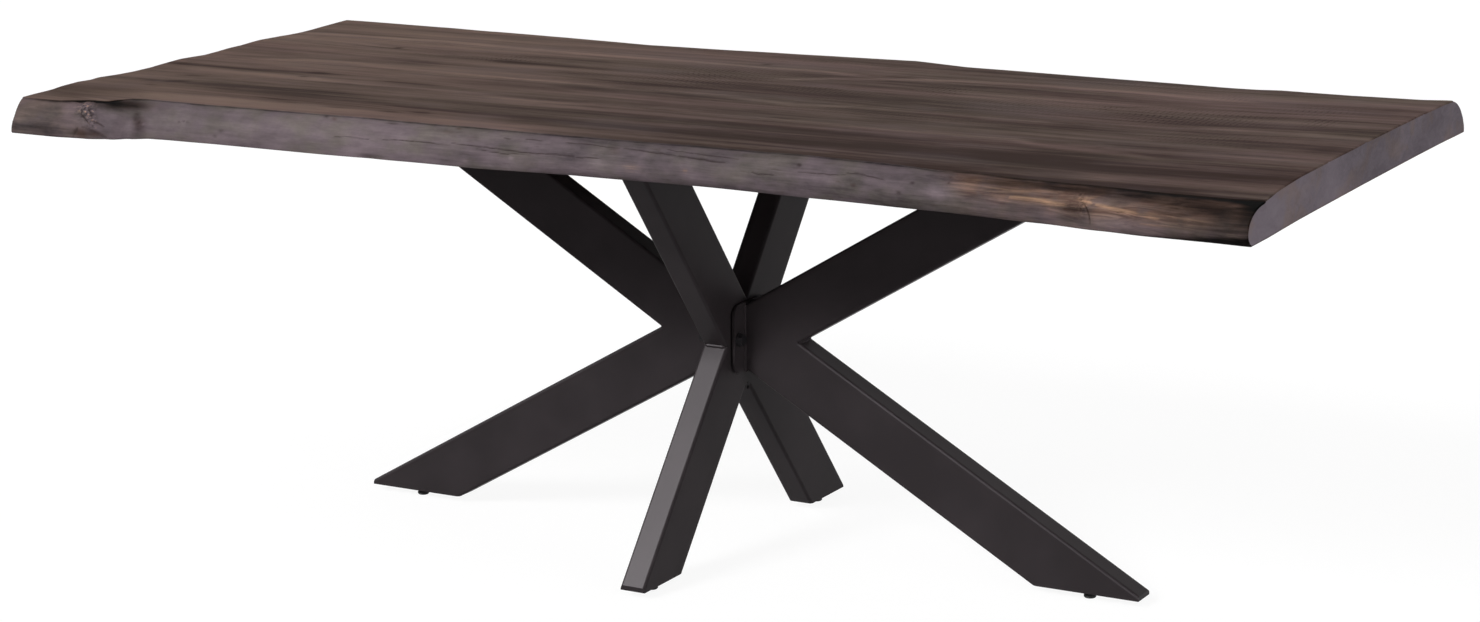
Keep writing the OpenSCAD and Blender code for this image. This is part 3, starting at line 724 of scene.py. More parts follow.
def section_columns(plank, rows, crease, joint_y, out):
    """Columns round a plank with a live edge. Returns the index of the edge's last column."""
    top = top_settings()
    under, full, belly, low_power, high_power = edge_rows(rows, plank.share)
    under, full, belly = top.width / 2 + under * MM, top.width / 2 + full * MM, belly * MM
    side = out * (top.width / 2 - CREASE_INSET)
    x = (left_x(side) + plank.share * (right_x(side) - left_x(side))) / MM
    wander = 0.5 * swell(x / 37, x * 0, 5) + 0.25 * swell(x / 13, x * 0, 6)
    crest = top.width / 2 + (along_line(x, crease) + wander) * MM
    for v in np.linspace(0, 1, 6)[:-1]:
        plank.add(joint_y + (out * under - joint_y) * v, UNDER_Z, Plank.UNDERSIDE)
    for t in np.linspace(0, pi / 2, top.low_columns + 1):
        reach = under + (full - under) * sin(t) ** (2 / low_power)
        plank.add(out * reach, UNDER_Z + belly * (1 - max(cos(t), 0) ** (2 / low_power)), Plank.EDGE)
    crest_z = TABLE_H - top.lip
    for t in np.linspace(0, pi / 2, top.high_columns + 1)[1:]:
        reach = crest + (full - crest) * max(cos(t), 0) ** (2 / high_power)
        height = UNDER_Z + belly + (crest_z - UNDER_Z - belly) * sin(t) ** (2 / high_power)
        plank.add(out * reach, height, Plank.EDGE)
    last = len(plank.parts) - 1
    plank.add(out * (crest - LIP_IN[0]), crest_z - LIP_IN[0], Plank.EDGE)
    plank.add(out * (crest - LIP_IN[1]), TABLE_H - 0.0007, Plank.EDGE)
    plank.add(out * (crest - LIP_IN[2]), TABLE_H - 0.0001, Plank.FACE)
    rows = round((top.width / 2 - FACE_INSET - abs(joint_y)) / top.row_step)
    for v in np.linspace(0, 1, rows + 1):
        inner = out * (crest - ROWS_IN)
        plank.add(inner + (joint_y - inner) * v, TABLE_H, Plank.FACE)
    joint_columns(plank, joint_y, False)
    return last


def live_plank(name, node, rows, crease, joint_y, out, fine_stretches, materials):
    """A plank with a live edge on its outer side. out is -1 at the front and 1 at the back."""
    plank = Plank(name, node, fine_stretches)
    last = section_columns(plank, rows, crease, joint_y, out)
    points = plank.grid()
    marks = blank_marks(points)
    parts = np.array(plank.parts)
    face_marks(marks, points, parts, last)
    normal = plank.outward(points)
    edge = parts == Plank.EDGE
    x, y, z = (points[:, :, i] / MM for i in range(3))
    lift = 0.8 * swell(x / 46, z / 17, 11) + 0.35 * swell(x / 17, z / 8, 12)
    lift += 0.16 * swell(x / 60, z / 2.4, 13)
    lift *= step_up(z, UNDER_Z / MM, UNDER_Z / MM + 5) * (1 - step_up(z, TABLE_H / MM - 8, TABLE_H / MM - 3))
    marks["tone"][:, edge] = 0
    marks["warm"][:, edge] = 0
    if out < 0:
        sheet_x, sheet_z = seen_on_sheet(points)
        lift += front_features(marks, sheet_x, sheet_z, edge)
        # Shade painted in a band under the crease
        crest = points[:, last:last + 1]
        depth = np.linalg.norm(points - crest, axis=2) / MM
        depth += 0.9 * swell(x / 31, x * 0, 21) + 0.6 * swell(x / 9, x * 0, 22)
        crease_shade = np.exp(-(np.clip(depth, 0, None) / along_line(sheet_x, CREASE_SHADE_WIDTH)) ** 1.6)
        marks["tone"] -= crease_shade * along_line(sheet_x, CREASE_SHADE_STRENGTH) * edge * step_up(sheet_x, *CREASE_SHADE_BEGINS)
    else:
        back_checks(marks, x, z)
    # Shade painted along the lip, in the same mark as the splits
    lip = edge & (np.arange(len(parts)) > last)
    shadowed = 0.5 if out > 0 else (0.34 + 0.2 * step_up(x, *LIP_DARKER)) * step_up(x, *LIP_SHADOW)
    marks["split"] = np.maximum(marks["split"], shadowed * lip)
    points += normal * (lift * edge * (np.arange(len(parts)) < last) * MM)[:, :, None]
    return plank.build(plank.ease_ends(points), marks, materials)


def seen_on_sheet(points):
    """Where the camera sees each point on the upright sheet along the front edge, in millimetres."""
    eye = bpy.context.scene.studio.camera_place
    scale = (EDGE_SHEET_Y - eye[1]) / (points[:, :, 1] - eye[1])
    x = eye[0] + (points[:, :, 0] - eye[0]) * scale
    z = eye[2] + (points[:, :, 2] - eye[2]) * scale
    return x / MM, z / MM


def along_line(x, line):
    """The value at x of a line given as (x, value)."""
    return np.interp(x, *np.array(line, float).T)


def front_features(marks, x, z, edge):
    """Checks, knots, bark and worn patches of the front live edge, and shade painted on it. Returns their
    relief in millimetres.
    """
    on_edge = np.broadcast_to(edge, x.shape)
    relief = np.zeros(x.shape)
    for half_width, deep, line in CHECKS:
        wobble = 0.5 * swell(x / 9, z / 50, half_width * 7)
        cut = stroke(x, z + wobble, line, half_width)
        marks["split"] = np.maximum(marks["split"], min(0.75, 1.2 / half_width) * cut * on_edge)
        relief = np.minimum(relief, -deep * cut)
    for half_width, height, line in EDGE_RIDGES:
        relief += height * stroke(x, z, line, half_width)
    for kind, rows in SPECKS.items():
        for made in spots(x, z, rows):
            marks[kind] = np.maximum(marks[kind], made * on_edge)
            if kind == "split":
                relief -= 1.2 * (made * on_edge)
    for half_width, strength, line in GOLD_STREAKS:
        marks["gold"] = np.maximum(marks["gold"], strength * stroke(x, z, line, half_width * 1.4) * on_edge)
    tone = along_line(x, EDGE_TONE)
    for made in spots(x, z, EDGE_PATCHES):
        tone += made
    marks["tone"] = np.where(on_edge, tone, marks["tone"])
    warm = step_up(x + 0.3 * (z - 735) + 9 * swell(x / 50, z / 9, 14), *WARM)
    fall = 10 * (1 - step_up(x, *WARM_TO_BOTTOM))
    warm *= 0.30 + 0.70 * step_up(z - fall + 5 * swell(x / 60, z / 40, 15), 712, 734)
    warm = np.maximum(warm, 0.38 * (1 - step_up(x, *LEFT_WARM_ENDS)))
    marks["warm"] = np.where(on_edge, warm, marks["warm"])
    # Shade painted along the bottom at the right, on the nose's top under the planed face, and in the right
    # end's upper corner
    rough = 1.4 * swell(x / 46, z / 40, 8) + 0.4 * swell(x / 15, z / 30, 9)
    low = along_line(x, SHADE_ALONG_BOTTOM)
    bottom_shade = (1 - step_up(z + rough, low - 4.0, low + 4.0)) * step_up(x, *BOTTOM_SHADE)
    wedge = along_line(x, NOSE_TOP_SHADE)
    nose_shade = step_up(z + 0.5 * rough, wedge - 1.6, wedge + 2.2)
    nose_shade *= step_up(x, *NOSE_SHADOW) * (1 - step_up(x, *NOSE_SHADOW_ENDS))
    end = step_up(x, *CORNER_SHADE) * step_up(z, 712, 735)
    marks["tone"] -= (0.44 * bottom_shade + 0.50 * nose_shade + 0.38 * end) * on_edge
    burl = marks["burl"]
    relief += burl * (0.9 * swell(x / 6, z / 6, 31) + 0.55 * swell(x / 2.8, z / 2.8, 32))
    return relief - 1.2 * nose_shade


def back_checks(marks, x, z):
    """A few long checks along the back live edge."""
    for i in range(BACK_CHECKS):
        at = -1000 + 150 * i + 40 * float(lattice(i, 1, 23))
        level = 722 + 26 * float(lattice(i, 2, 23))
        length = 60 + 90 * float(lattice(i, 3, 23))
        line = [(at, level), (at + length * 0.5, level + 1.5), (at + length, level - 1)]
        marks["split"] = np.maximum(marks["split"], 0.8 * stroke(x, z, line, 0.9))


class Field:
    """A shader socket that Python's operators work on, each adding its Math node."""

    def __init__(self, shader, socket):
        self.shader = shader
        self.socket = socket

    def maths(self, operation, *others, first=None):
        values = [self if first is None else first, *others]
        return self.shader.node("ShaderNodeMath", {"operation": operation}, dict(enumerate(values)))

    def __add__(self, other):
        return self.maths("ADD", other)

    def __sub__(self, other):
        return self.maths("SUBTRACT", other)

    def __rsub__(self, other):
        return self.maths("SUBTRACT", self, first=other)

    def __mul__(self, other):
        return self.maths("MULTIPLY", other)

    __radd__ = __add__
    __rmul__ = __mul__

    def least(self, other):
        return self.maths("MINIMUM", other)

    def most(self, other):
        return self.maths("MAXIMUM", other)

    def sine(self):
        return self.maths("SINE")

    def between(self, low, high, start=0.0, end=1.0):
        """Eased from start at low to end at high, and level beyond them."""
        settings = {"interpolation_type": "SMOOTHSTEP"}
        values = {"Value": self, "From Min": low, "From Max": high, "To Min": start, "To Max": end}
        return self.shader.node("ShaderNodeMapRange", settings, values)


class Shader:
    """A material's or the world's node tree, and the one place where its nodes are made."""

    def __init__(self, owner):
        self.owner = owner
        owner.use_nodes = True
        self.tree = owner.node_tree
        self.tree.nodes.clear()
        self.coordinates = None

    def node(self, kind, settings=None, sockets=None, out=0):
        """Adds a node with its settings and sockets, and returns the output asked for."""
        made = self.tree.nodes.new(kind)
        for key, value in (settings or {}).items():
            setattr(made, key, value)
        for key, value in (sockets or {}).items():
            if isinstance(value, Field):
                self.tree.links.new(value.socket, made.inputs[key])
            else:
                made.inputs[key].default_value = value
        return Field(self, made.outputs[out]) if made.outputs else made

    def place(self):
        """The piece's own coordinates, which all of a material's textures share."""
        if self.coordinates is None:
            self.coordinates = self.node("ShaderNodeTexCoord", out="Object")
        return self.coordinates

    def axis(self, name):
        return self.node("ShaderNodeSeparateXYZ", {}, {0: self.place()}, out=name)

    def noise(self, scale, roughness, distortion=0.0, detail=3.0):
        """Noise with its scale along x, y and z, or one scale for all three."""
        scale = (scale, scale, scale) if isinstance(scale, float) else scale
        stretched = self.node("ShaderNodeVectorMath", {"operation": "MULTIPLY"}, {0: self.place(), 1: scale})
        values = {"Vector": stretched, "Scale": 1.0, "Detail": detail, "Roughness": roughness,
                  "Distortion": distortion}
        return self.node("ShaderNodeTexNoise", {}, values)

    def mark(self, name):
        """One of the marks that the points carry."""
        return self.node("ShaderNodeAttribute", {"attribute_name": name}, out="Fac")

    def colour(self, value):
        """A colour that a Mix node can take: RGBA numbers, or a Field as it is."""
        return value if isinstance(value, Field) else (*value[:3], 1.0)

    def grey(self, value):
        """The same number in red, green and blue."""
        return self.node("ShaderNodeCombineColor", {}, {0: value, 1: value, 2: value})

    def mix(self, share, one, other, blend="MIX"):
        settings = {"data_type": "RGBA", "blend_type": blend}
        return self.node("ShaderNodeMix", settings, {0: share, 6: self.colour(one), 7: self.colour(other)},
                         out=2)

    def finish(self, colour, roughness, gloss, relief, **others):
        """Makes the surface and returns its material. relief is (height, distance in metres, strength)."""
        bump = self.node("ShaderNodeBump", {}, dict(zip(("Height", "Distance", "Strength"), relief)))
        sockets = {"Base Color": colour, "Roughness": roughness, "Specular IOR Level": gloss, "Normal": bump}
        surface = self.node("ShaderNodeBsdfPrincipled", {}, {**sockets, **others})
        self.node("ShaderNodeOutputMaterial", {}, {"Surface": surface})
        return self.owner


# Specular level of the wood, which has a dead matte finish
WOOD_GLOSS = 0.012


def scaled(colour, share):
    """A setting's colour, lighter or darker."""
    return [c * share for c in colour]


def new_material(name):
    """The maker of a new material's nodes."""
    return Shader(bpy.data.materials.new(name))


def wood_material():
    """Dark stained wood: streaked grain, saw marks, and the live edges' grey, gold and splits."""
    top = top_settings()
    make = new_material("stained_wood")
    marks = {name: make.mark(name) for name in MARK_NAMES}
    streak = make.noise((3.2, 72, 72), 0.48, 0.4)
    fibre = make.noise((16, 900, 900), 0.5, detail=2.0)
    planed, saw_cut = planed_colour(make, marks, streak, fibre)
    weathered = edge_colour(make, marks, fibre)
    colour = make.mix(marks["face"], weathered, planed)
    broken = make.noise((90, 200, 240), 0.6, detail=2.0).between(0.30, 0.50, 0.62, 1.05)
    # Splits, and the shade painted along the lip, take the split colour
    colour = make.mix((marks["split"] * broken).least(1.0), colour, top.wood_split_and_shade)
    roughness = (streak * 0.15 + 0.66 + marks["split"] * 0.2).least(1.0)
    relief = fibre * 0.35 + streak * 0.8 - saw_cut * 0.9
    return make.finish(colour, roughness, WOOD_GLOSS, (relief, 0.0006, 0.8))


def planed_colour(make, marks, streak, fibre):
    """The upper face: streaks along the grain, clouds and pores, and with it the saw's cuts."""
    top = top_settings()
    broad = make.noise((1.1, 17, 17), 0.6, 0.4, detail=4.0)
    cloud = make.noise((5, 11, 11), 0.5)
    fleck = make.noise((30, 330, 330), 0.6).between(0.58, 0.70)
    saw = (make.axis("X") * 620.0 + streak * 9.0 + cloud * 6.0).sine()
    saw_cut = (saw.between(0.25, 0.95) * marks["sawn"] * fibre.between(0.35, 0.6)).least(1.0)
    short = make.noise((10, 62, 62), 0.55, 0.5)
    # The tone mark brings in the top's painted light and shade
    grain = marks["tone"] * 0.55 + (broad - 0.5) * 1.1 + (streak - 0.5) * 0.45 + (fibre - 0.5) * 0.15 + 0.415
    grain = grain + (short - 0.5) * 0.22
    grain = grain + (cloud - 0.5) * 0.4 + marks["warm"] * 0.12 - fleck * 0.16 - saw_cut * 0.34
    planed = make.mix(grain.between(0.0, 1.0), top.wood_dark, top.wood_light)
    drift = make.noise((1.7, 8.5, 8.5), 0.55, 0.5).between(0.36, 0.64)
    tint = make.mix(drift, top.tint_olive, top.tint_plum)
    # Tan tint towards the left end of the face, broken up by the clouds
    nearer_left_end = make.axis("X").between(-0.75, 0.1, 1.0, 0.0) * cloud.between(0.35, 0.65, 0.2, 1.0)
    tint = make.mix(nearer_left_end, tint, top.tint_tan)
    planed = make.mix(1.0, planed, tint, "MULTIPLY")
    golden = marks["warm"] * broad.between(0.35, 0.65) * 0.38
    planed = make.mix(golden, planed, scaled(top.edge_brown, 0.60))
    return make.mix(cloud.between(0.5, 0.72) * 0.25, planed, scaled(top.edge_grey, 0.5)), saw_cut


def edge_colour(make, marks, fibre):
    """The live edges: soft upright smudges over fine fibres, from lilac grey to golden brown."""
    top = top_settings()
    smudge = make.noise((9, 24, 30), 0.58, 0.6, detail=4.0)
    cloud = make.noise((24, 24, 30), 0.5, 0.4)
    hair = make.noise((9, 60, 330), 0.6)
    strand = make.noise((8, 60, 110), 0.6, 1.1, detail=4.0)
    hue = make.noise((15, 15, 26), 0.55)
    short = make.noise((22, 80, 130), 0.6, 0.4)
    crumb = make.noise((150, 150, 260), 0.6)
    combed = make.axis("X").between(-0.55, -0.1, 0.35, 1.0)
    hairy = (hair - 0.5) * (combed * 0.24 + marks["warm"] * 0.30)
    crumbled = (crumb - 0.5) * (marks["burl"] * 2.6 + 0.10)
    # The tone mark brings in the shade painted on the edge
    level = marks["tone"] + (smudge - 0.5) * 0.55 + (cloud - 0.5) * 0.40 + hairy + 1.0
    level = level + (short - 0.5) * 0.30 + (strand - 0.5) * combed * 0.35 + crumbled
    base = make.mix(hue.between(0.38, 0.66), top.edge_grey, top.edge_olive)
    brown = make.mix(strand.between(0.34, 0.68), scaled(top.wood_rust, 1.35), scaled(top.edge_brown, 1.10))
    base = make.mix(marks["warm"] * cloud.between(0.30, 0.58, 0.45, 1.0), base, brown)
    dash = make.noise((34, 200, 300), 0.6).between(0.58, 0.72)
    base = make.mix(marks["pale"] * 0.8, base, scaled(top.edge_grey, 2.2))
    worn = marks["gold"] * strand.between(0.25, 0.55) * hair.between(0.36, 0.58, 0.35, 1.0)
    base = make.mix(worn, base, top.wood_gold)
    base = make.mix(dash * combed * 0.22, base, top.wood_rust)
    rusty = marks["rust"] * 0.85 * smudge.between(0.20, 0.5, 0.4, 1.0)
    base = make.mix(rusty.least(1.0), base, top.wood_rust)
    bloom = (marks["burl"] * crumb.between(0.56, 0.66) * 0.8).least(1.0)
    base = make.mix(bloom, base, scaled(top.wood_gold, 0.75))
    return make.mix(1.0, base, make.grey(level.between(0.0, 2.0, 0.0, 2.0)), "MULTIPLY")


def end_grain_material():
    """Sawn end grain: rings cut across, with fine pores."""
    top = top_settings()
    make = new_material("end_grain")
    speckle = make.noise(300.0, 0.6)
    blotch = make.noise((9, 5, 9), 0.5)
    ring = make.noise((2, 28, 60), 0.6, 0.8)
    forward = make.axis("Y").between(-0.5, 0.35, 0.12, -0.10)
    grain = (speckle - 0.5) * 0.35 + (blotch - 0.5) * 0.8 + (ring - 0.5) * 0.5 + forward + 0.53
    colour = make.mix(grain.between(0.1, 0.9), scaled(top.end_grey, 0.7), scaled(top.end_grey, 1.3))
    stain = make.noise((5, 11, 14), 0.55, 0.6).between(0.48, 0.66) * 0.75
    colour = make.mix(stain, colour, make.mix(1.0, colour, top.end_stain, "MULTIPLY"))
    return make.finish(colour, speckle * 0.15 + 0.7, WOOD_GLOSS, (speckle * 0.5 + ring * 0.5, 0.0003, 0.5))


def powder_coat_material():
    """Satin black powder coat with its fine orange peel."""
    steel = bpy.context.scene.table_steel
    make = new_material("powder_coat")
    peel = make.noise(520.0, 0.5, detail=2.0)
    dust = make.noise(7.0, 0.5)
    grit = make.noise(1500.0, 0.5, detail=1.0)
    colour = make.mix(dust.between(0.3, 0.8), steel.coat, scaled(steel.coat, 1.35))
    roughness = (dust - 0.5) * 0.08 + grit * 0.04 + (steel.coat_roughness - 0.02)
    return make.finish(colour, roughness, 0.0375, (peel + grit * 0.4, 0.00008, 0.5),
                       **{"Specular Tint": (1.0, 0.94, 0.98, 1.0)})


def zinc_material():
    """Zinc plating, faintly clouded and brushed."""
    steel = bpy.context.scene.table_steel
    make = new_material("zinc_plating")
    cloud = make.noise(90.0, 0.5)
    brush = make.noise((60, 60, 1400), 0.5, detail=2.0)
    colour = make.mix(cloud.between(0.25, 0.75), scaled(steel.zinc, 0.8), steel.zinc)
    return make.finish(colour, cloud * 0.25 + brush * 0.1 + 0.22, 0.5, (brush, 0.0001, 0.4), Metallic=1.0)


def black_oxide_material():
    """Blackened bolts and washers at the hub, rubbed a little on their faces."""
    steel = bpy.context.scene.table_steel
    make = new_material("black_oxide")
    cloud = make.noise(140.0, 0.5)
    colour = make.mix(cloud.between(0.3, 0.8), steel.oxide, scaled(steel.oxide, 1.8))
    return make.finish(colour, cloud * 0.2 + 0.36, 0.05, (cloud, 0.0001, 0.4))


def pad_material():
    """Matte moulded plastic."""
    steel = bpy.context.scene.table_steel
    make = new_material("moulded_pad")
    texture = make.noise(1100.0, 0.5, detail=2.0)
    colour = make.mix(texture, steel.pad, scaled(steel.pad, 1.6))
    return make.finish(colour, texture * 0.2 + 0.6, 0.3, (texture, 0.0001, 0.5))


def dress(nodes, material):
    """Gives CAD nodes their material."""
    for name in nodes:
        node = frame["nodes"][name]
        node.data.materials.clear()
        node.data.materials.append(material)


def nodes_with_slot(slot):
    """The names of the CAD nodes that the record gives this material slot."""
    return [part["node"] for part in frame["record"]["subparts"] if part["material_slot"] == slot]


class BaseFrame:
    """One frame of the base: where its arms meet, and how far its upper arm reaches from the hub."""

    def __init__(self, turn, corner, top_reach, hub_face):
        self.turn = radians(turn)
        self.corner = corner
        self.rise = atan2(UNDER_Z - corner[1], top_reach - corner[0])
        self.top_reach = top_reach
        self.hub_face = hub_face

    def place(self, reach, aside, z):
        """A point at this reach from the hub, beside the frame's middle plane, in the part's frame."""
        x = HUB[0] + reach * cos(self.turn) - aside * sin(self.turn)
        y = HUB[1] + reach * sin(self.turn) + aside * cos(self.turn)
        return Vector((x, y, z))

    def on_upper(self, along, across):
        """Reach and height of a point along the upper arm's lower face, and across into the arm."""
        reach = self.corner[0] + along * cos(self.rise) - across * sin(self.rise)
        return reach, self.corner[1] + along * sin(self.rise) + across * cos(self.rise)


# Weld beads: length of a step, distance between two ripples in metres, and sides of a bead
BEAD_STEP = 0.0011
RIPPLE = 0.0036
BEAD_SIDES = 12
# The beads between the side frames and their hub plates: lower end and length
FLANGE_BEAD_Z = 0.305
FLANGE_BEAD_L = 0.118
# How far a dressed weld stands proud of the tube, and how far it sinks into the arm
DRESSED_PROUD = 0.00006
DRESSED_SINK = 0.0006


class Sweep:
    """Closed solids swept along lines, gathered in one mesh."""

    def __init__(self):
        self.points = []
        self.faces = []

    def add(self, rings):
        """Adds one solid from its rings of points, each in the same order."""
        base, count = len(self.points), len(rings[0])
        for ring in rings:
            self.points += ring
        for i in range(len(rings) - 1):
            for k in range(count):
                a, b = base + i * count + k, base + i * count + (k + 1) % count
                self.faces.append((a, b, b + count, a + count))
        self.faces.append(tuple(range(base + count - 1, base - 1, -1)))
        last = base + (len(rings) - 1) * count
        self.faces.append(tuple(range(last, last + count)))

    def bead(self, start, end, radius, side):
        """A weld bead: a low round ridge with the ripples of the torch. side points out of the corner."""
        line = end - start
        length = line.length
        ahead = line / length
        side = (side - ahead * side.dot(ahead)).normalized()
        cross = ahead.cross(side)
        steps = max(6, round(length / BEAD_STEP))
        rings = []
        for i in range(steps + 1):
            share = i / steps
            from_end = min(share, 1 - share) * length / radius / 2
            ripple = 0.09 * sin(share * length * 2 * pi / RIPPLE) + 0.05 * sin(share * 17)
            swollen = radius * sin(pi * min(1, 0.12 + from_end) / 2) * (1 + ripple)
            at = start + line * share
            turns = [2 * pi * k / BEAD_SIDES for k in range(BEAD_SIDES)]
            rings.append([at + (side * cos(t) + cross * sin(t)) * swollen for t in turns])
        self.add(rings)

    def make(self, name, material):
        """Makes one object of all the solids."""
        mesh = bpy.data.meshes.new(name)
        mesh.from_pydata([tuple(p) for p in self.points], [], self.faces)
        mesh.polygons.foreach_set("use_smooth", [len(p.vertices) == 4 for p in mesh.polygons])
        mesh.materials.append(material)
        made = new_object(name, mesh)
        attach(made, "table")
        return made


def base_frames():
    """The right, left, front and back frame. Their lengths are in metres from the hub's middle."""
    side = {"corner": (0.131, 0.365), "top_reach": 0.694, "hub_face": 0.0305}
    cross = {"corner": (0.068, 0.356), "top_reach": 0.339, "hub_face": 0.0}
    return [BaseFrame(0, **side), BaseFrame(180, **side), BaseFrame(-90, **cross), BaseFrame(90, **cross)]


def corner_welds(material):
    """A bead across each frame's inner corner, where the lower arm meets the upper one."""
    steel = bpy.context.scene.table_steel
    sweep = Sweep()
    for held in base_frames():
        reach, z = held.corner
        half = ARM_D / 2 - steel.tube_corner * 0.7
        out = held.place(reach + 1, 0, z) - held.place(reach, 0, z)
        centre = held.place(reach, 0, z) + out * 0.0006
        aside = held.place(reach, 1, z) - held.place(reach, 0, z)
        sweep.bead(centre - aside * half, centre + aside * half, steel.bead_radius, out)
    return sweep.make("corner_welds", material)


def flange_welds(material):
    """Upright beads between the side frames and their hub plates."""
    steel = bpy.context.scene.table_steel
    sweep = Sweep()
    for held in base_frames()[:2]:
        for aside in (-1, 1):
            start = held.place(held.hub_face, aside * ARM_D / 2, FLANGE_BEAD_Z)
            end = held.place(held.hub_face, aside * ARM_D / 2, FLANGE_BEAD_Z + FLANGE_BEAD_L)
            out = held.place(1, aside, 0) - held.place(0, 0, 0)
            sweep.bead(start, end, steel.bead_radius * 0.85, out)
    return sweep.make("flange_welds", material)


def plate_welds(material):
    """Beads along both sides of each upper arm, under its top plate."""
    steel = bpy.context.scene.table_steel
    sweep = Sweep()
    plate_z = box_low("right_top_plate").z
    for held in base_frames():
        far = held.top_reach - (UNDER_Z - plate_z) / tan(held.rise)
        near = far - ARM_W / sin(held.rise)
        for aside in (-1, 1):
            start = held.place(near + 0.006, aside * ARM_D / 2, plate_z)
            end = held.place(far - 0.006, aside * ARM_D / 2, plate_z)
            sweep.bead(start, end, steel.bead_radius, Vector((0, 0, -1)))
    return sweep.make("plate_welds", material)


def dressed_welds(material):
    """Welds ground flush along the seam between each frame's arms, filling the tube's round corner."""
    radius = bpy.context.scene.table_steel.tube_corner
    face = ARM_D / 2 + DRESSED_PROUD
    section = [(face, -DRESSED_SINK), (face, radius + 0.0004)]
    section += [(ARM_D / 2 - radius + radius * cos(t), radius - radius * sin(t))
                for t in [pi / 2 * k / 5 for k in range(6)]]
    section.append((ARM_D / 2 - radius, -DRESSED_SINK))
    sweep = Sweep()
    for held in base_frames():
        length = (held.corner[0] - held.hub_face) / cos(held.rise)
        for aside in (-1, 1):
            rings = []
            for along in (-length, -0.0005):
                ring = []
                for y, across in section:
                    reach, z = held.on_upper(along, across)
                    ring.append(held.place(reach, aside * y, z))
                rings.append(ring if aside > 0 else ring[::-1])
            sweep.add(rings)
    made = sweep.make("dressed_welds", material)
    made.data.polygons.foreach_set("use_smooth", [False] * len(made.data.polygons))
    return made


class TABLE_OT_stage(bpy.types.Operator):
    """Floor, soft lights and the camera at the photograph's angle"""

    bl_idname = "table.stage"
    bl_label = "Stage"

    SENSOR_WIDTH = 36.0
    SEEN_TO = 400.0
    # The floor's own grey, the white that seen rays find in it, and that white's share
    FLOOR_GREY = (0.55, 0.55, 0.55, 1)
    FLOOR_GLOW = 1.2
    GLOW_SHARE = 0.76
    # Lamps as wide as soft boxes: name, setting of the strength, spread in degrees, the way to the lamp
    LAMPS = [
        ("key_light", "key", 20, (-0.30, -0.755, 0.58)),
        ("fill_light", "fill", 60, (0.85, -0.25, 0.45)),
        ("low_fill_light", "low_fill", 30, (0.96, -0.25, 0.12)),
        ("gleam_light", "gleam", 12, (-0.42, -0.70, 0.58)),
    ]

    def execute(self, context):
        self.make_camera(context)
        self.make_world(context)
        self.make_floor(context)
        self.make_lamps(context)
        context.scene.view_settings.view_transform = "Standard"
        return {"FINISHED"}

    def make_camera(self, context):
        stage = context.scene.studio
        yaw, pitch, roll = stage.camera_yaw, stage.camera_pitch, stage.camera_roll
        ahead = Vector((-sin(yaw) * cos(pitch), cos(yaw) * cos(pitch), -sin(pitch)))
        level = Vector((cos(yaw), sin(yaw), 0))
        upright = level.cross(ahead)
        right = level * cos(roll) + upright * sin(roll)
        up = -level * sin(roll) + upright * cos(roll)
        data = bpy.data.cameras.new("photo_camera")
        data.lens = stage.camera_lens
        data.sensor_width = self.SENSOR_WIDTH
        data.clip_end = self.SEEN_TO
        camera = bpy.data.objects.new("photo_camera", data)
        turn = Matrix((right, up, -ahead)).transposed().to_4x4()
        camera.matrix_world = Matrix.Translation(Vector(stage.camera_place)) @ turn
        context.scene.collection.objects.link(camera)
        context.scene.camera = camera

    def make_world(self, context):
        world = bpy.data.worlds.new("studio")
        context.scene.world = world
        make = Shader(world)
        seen = self.seen_rays(make)
        strength = seen * (1.0 - context.scene.studio.sky) + context.scene.studio.sky
        backdrop = make.node("ShaderNodeBackground", {}, {"Color": (1, 1, 1, 1), "Strength": strength})
        make.node("ShaderNodeOutputWorld", {}, {"Surface": backdrop})

    def seen_rays(self, make):
        """1 for rays that show the background, straight or in metal and glass."""
        path = [make.node("ShaderNodeLightPath", out=name)
                for name in ("Is Camera Ray", "Is Glossy Ray", "Is Transmission Ray")]
        return path[0].most(path[1]).most(path[2])

    def make_floor(self, context):
        half = context.scene.studio.floor_size / 2
        mesh = bpy.data.meshes.new("studio_floor")
        corners = [(-half, -half, 0), (half, -half, 0), (half, half, 0), (-half, half, 0)]
        mesh.from_pydata(corners, [], [(0, 1, 2, 3)])
        floor = new_object("studio_floor", mesh)
        make = new_material("studio_floor")
        shade = make.node("ShaderNodeBsdfDiffuse", {}, {"Color": self.FLOOR_GREY})
        glow = make.node("ShaderNodeEmission", {}, {"Strength": self.FLOOR_GLOW})
        seen = self.seen_rays(make) * self.GLOW_SHARE
        both = make.node("ShaderNodeMixShader", {}, {0: seen, 1: shade, 2: glow})
        make.node("ShaderNodeOutputMaterial", {}, {"Surface": both})
        mesh.materials.append(make.owner)

    def make_lamps(self, context):
        for name, setting, spread, towards in self.LAMPS:
            data = bpy.data.lights.new(name, "SUN")
            data.energy = getattr(context.scene.studio, setting)
            data.angle = radians(spread)
            lamp = bpy.data.objects.new(name, data)
            lamp.rotation_mode = "QUATERNION"
            lamp.rotation_quaternion = Vector(towards).to_track_quat("Z", "Y")
            lamp.visible_diffuse = setting != "gleam"
            context.scene.collection.objects.link(lamp)


class TABLE_OT_planks(bpy.types.Operator):
    """The four planks of the top, with their live edges and sawn ends"""

    bl_idname = "table.planks"
    bl_label = "Planks"

    def execute(self, context):
        materials = [wood_material(), end_grain_material()]
        middle_plank("mid_front_plank", "plank_mid_front", FRONT_JOINT, MID_JOINT, materials)
        middle_plank("mid_back_plank", "plank_mid_back", MID_JOINT, BACK_JOINT, materials)
        live_plank("front_live_plank", "plank_front", FRONT_EDGE, FRONT_CREASE, FRONT_JOINT, -1,
                   FRONT_FINE, materials)
        live_plank("back_live_plank", "plank_back", BACK_EDGE, BACK_CREASE, BACK_JOINT, 1, [], materials)
        return {"FINISHED"}


class TABLE_OT_steel(bpy.types.Operator):
    """Powder coat on the arms, plates and flanges of the base"""

    bl_idname = "table.steel"
    bl_label = "Steel base"

    def execute(self, context):
        dress(nodes_with_slot("frame_steel"), powder_coat_material())
        return {"FINISHED"}


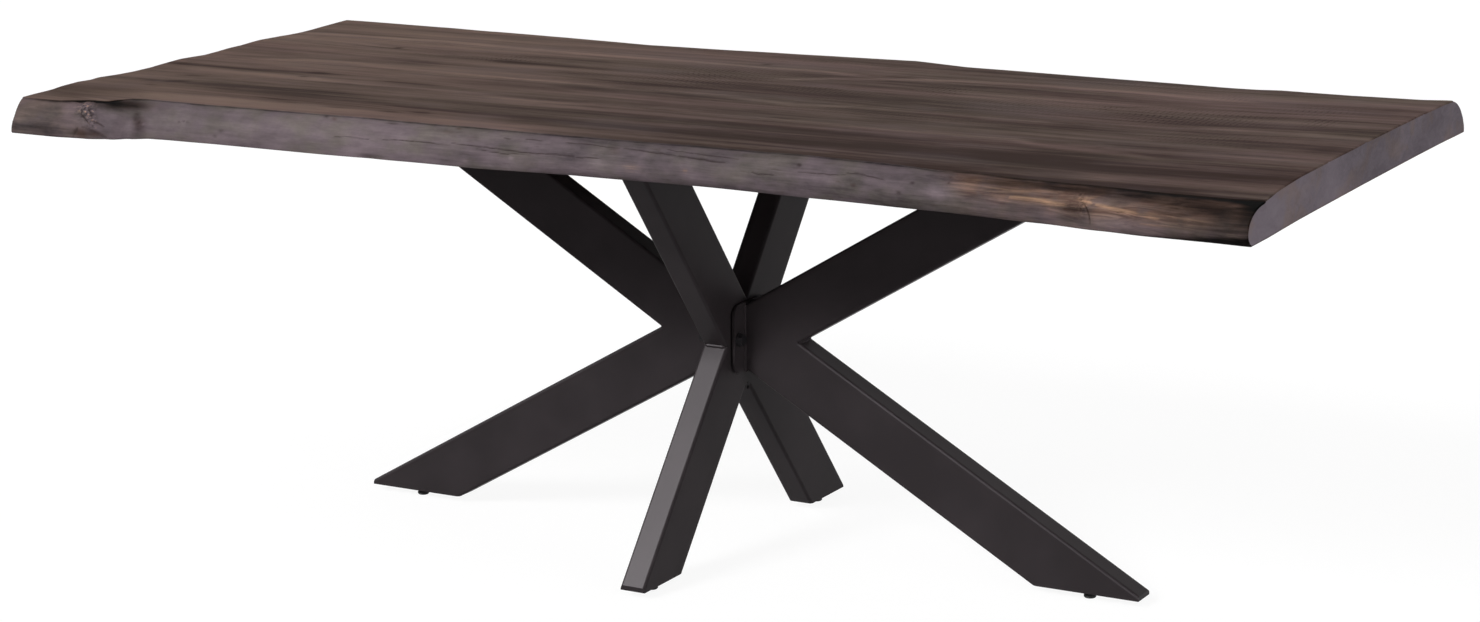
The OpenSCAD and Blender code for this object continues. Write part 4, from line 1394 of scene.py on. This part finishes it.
class TABLE_OT_welds(bpy.types.Operator):
    """Weld beads in the corners of the base, and welds ground flush along its seams"""

    bl_idname = "table.welds"
    bl_label = "Welds"

    def execute(self, context):
        coat = frame["nodes"]["right_upper_arm"].data.materials[0]
        for weld in (corner_welds, flange_welds, plate_welds, dressed_welds):
            weld(coat)
        return {"FINISHED"}


class TABLE_OT_fasteners(bpy.types.Operator):
    """Zinc plating on bolts, nuts, bushes and levelling screws, and black oxide on the hub's bolts"""

    bl_idname = "table.fasteners"
    bl_label = "Fasteners"

    def execute(self, context):
        dress(nodes_with_slot("zinc"), zinc_material())
        dress(["hub_bolts", "hub_washers"], black_oxide_material())
        return {"FINISHED"}


class TABLE_OT_pads(bpy.types.Operator):
    """Moulded pads under the levelling screws"""

    bl_idname = "table.pads"
    bl_label = "Pads"

    def execute(self, context):
        dress(nodes_with_slot("pad"), pad_material())
        return {"FINISHED"}


class TABLE_PT_panel(bpy.types.Panel):
    """Lists the steps that dress the table"""

    bl_label = "Dining table"
    bl_idname = "TABLE_PT_panel"
    bl_space_type = "VIEW_3D"
    bl_region_type = "UI"
    bl_category = "Table"

    def draw(self, context):
        for step in STEPS:
            self.layout.operator(step.bl_idname)


STEPS = [TABLE_OT_stage, TABLE_OT_planks, TABLE_OT_steel, TABLE_OT_welds, TABLE_OT_fasteners, TABLE_OT_pads]
CLASSES = [TableTopSettings, SteelSettings, StageSettings, *STEPS, TABLE_PT_panel]


def register():
    for made in CLASSES:
        bpy.utils.register_class(made)
    bpy.types.Scene.table_top = PointerProperty(type=TableTopSettings)
    bpy.types.Scene.table_steel = PointerProperty(type=SteelSettings)
    bpy.types.Scene.studio = PointerProperty(type=StageSettings)


def unregister():
    for name in ("table_top", "table_steel", "studio"):
        delattr(bpy.types.Scene, name)
    for made in reversed(CLASSES):
        bpy.utils.unregister_class(made)


def main():
    register()
    bpy.ops.table.stage()
    bpy.ops.table.planks()
    bpy.ops.table.steel()
    bpy.ops.table.welds()
    bpy.ops.table.fasteners()
    bpy.ops.table.pads()


if __name__ == "__main__":
    main()
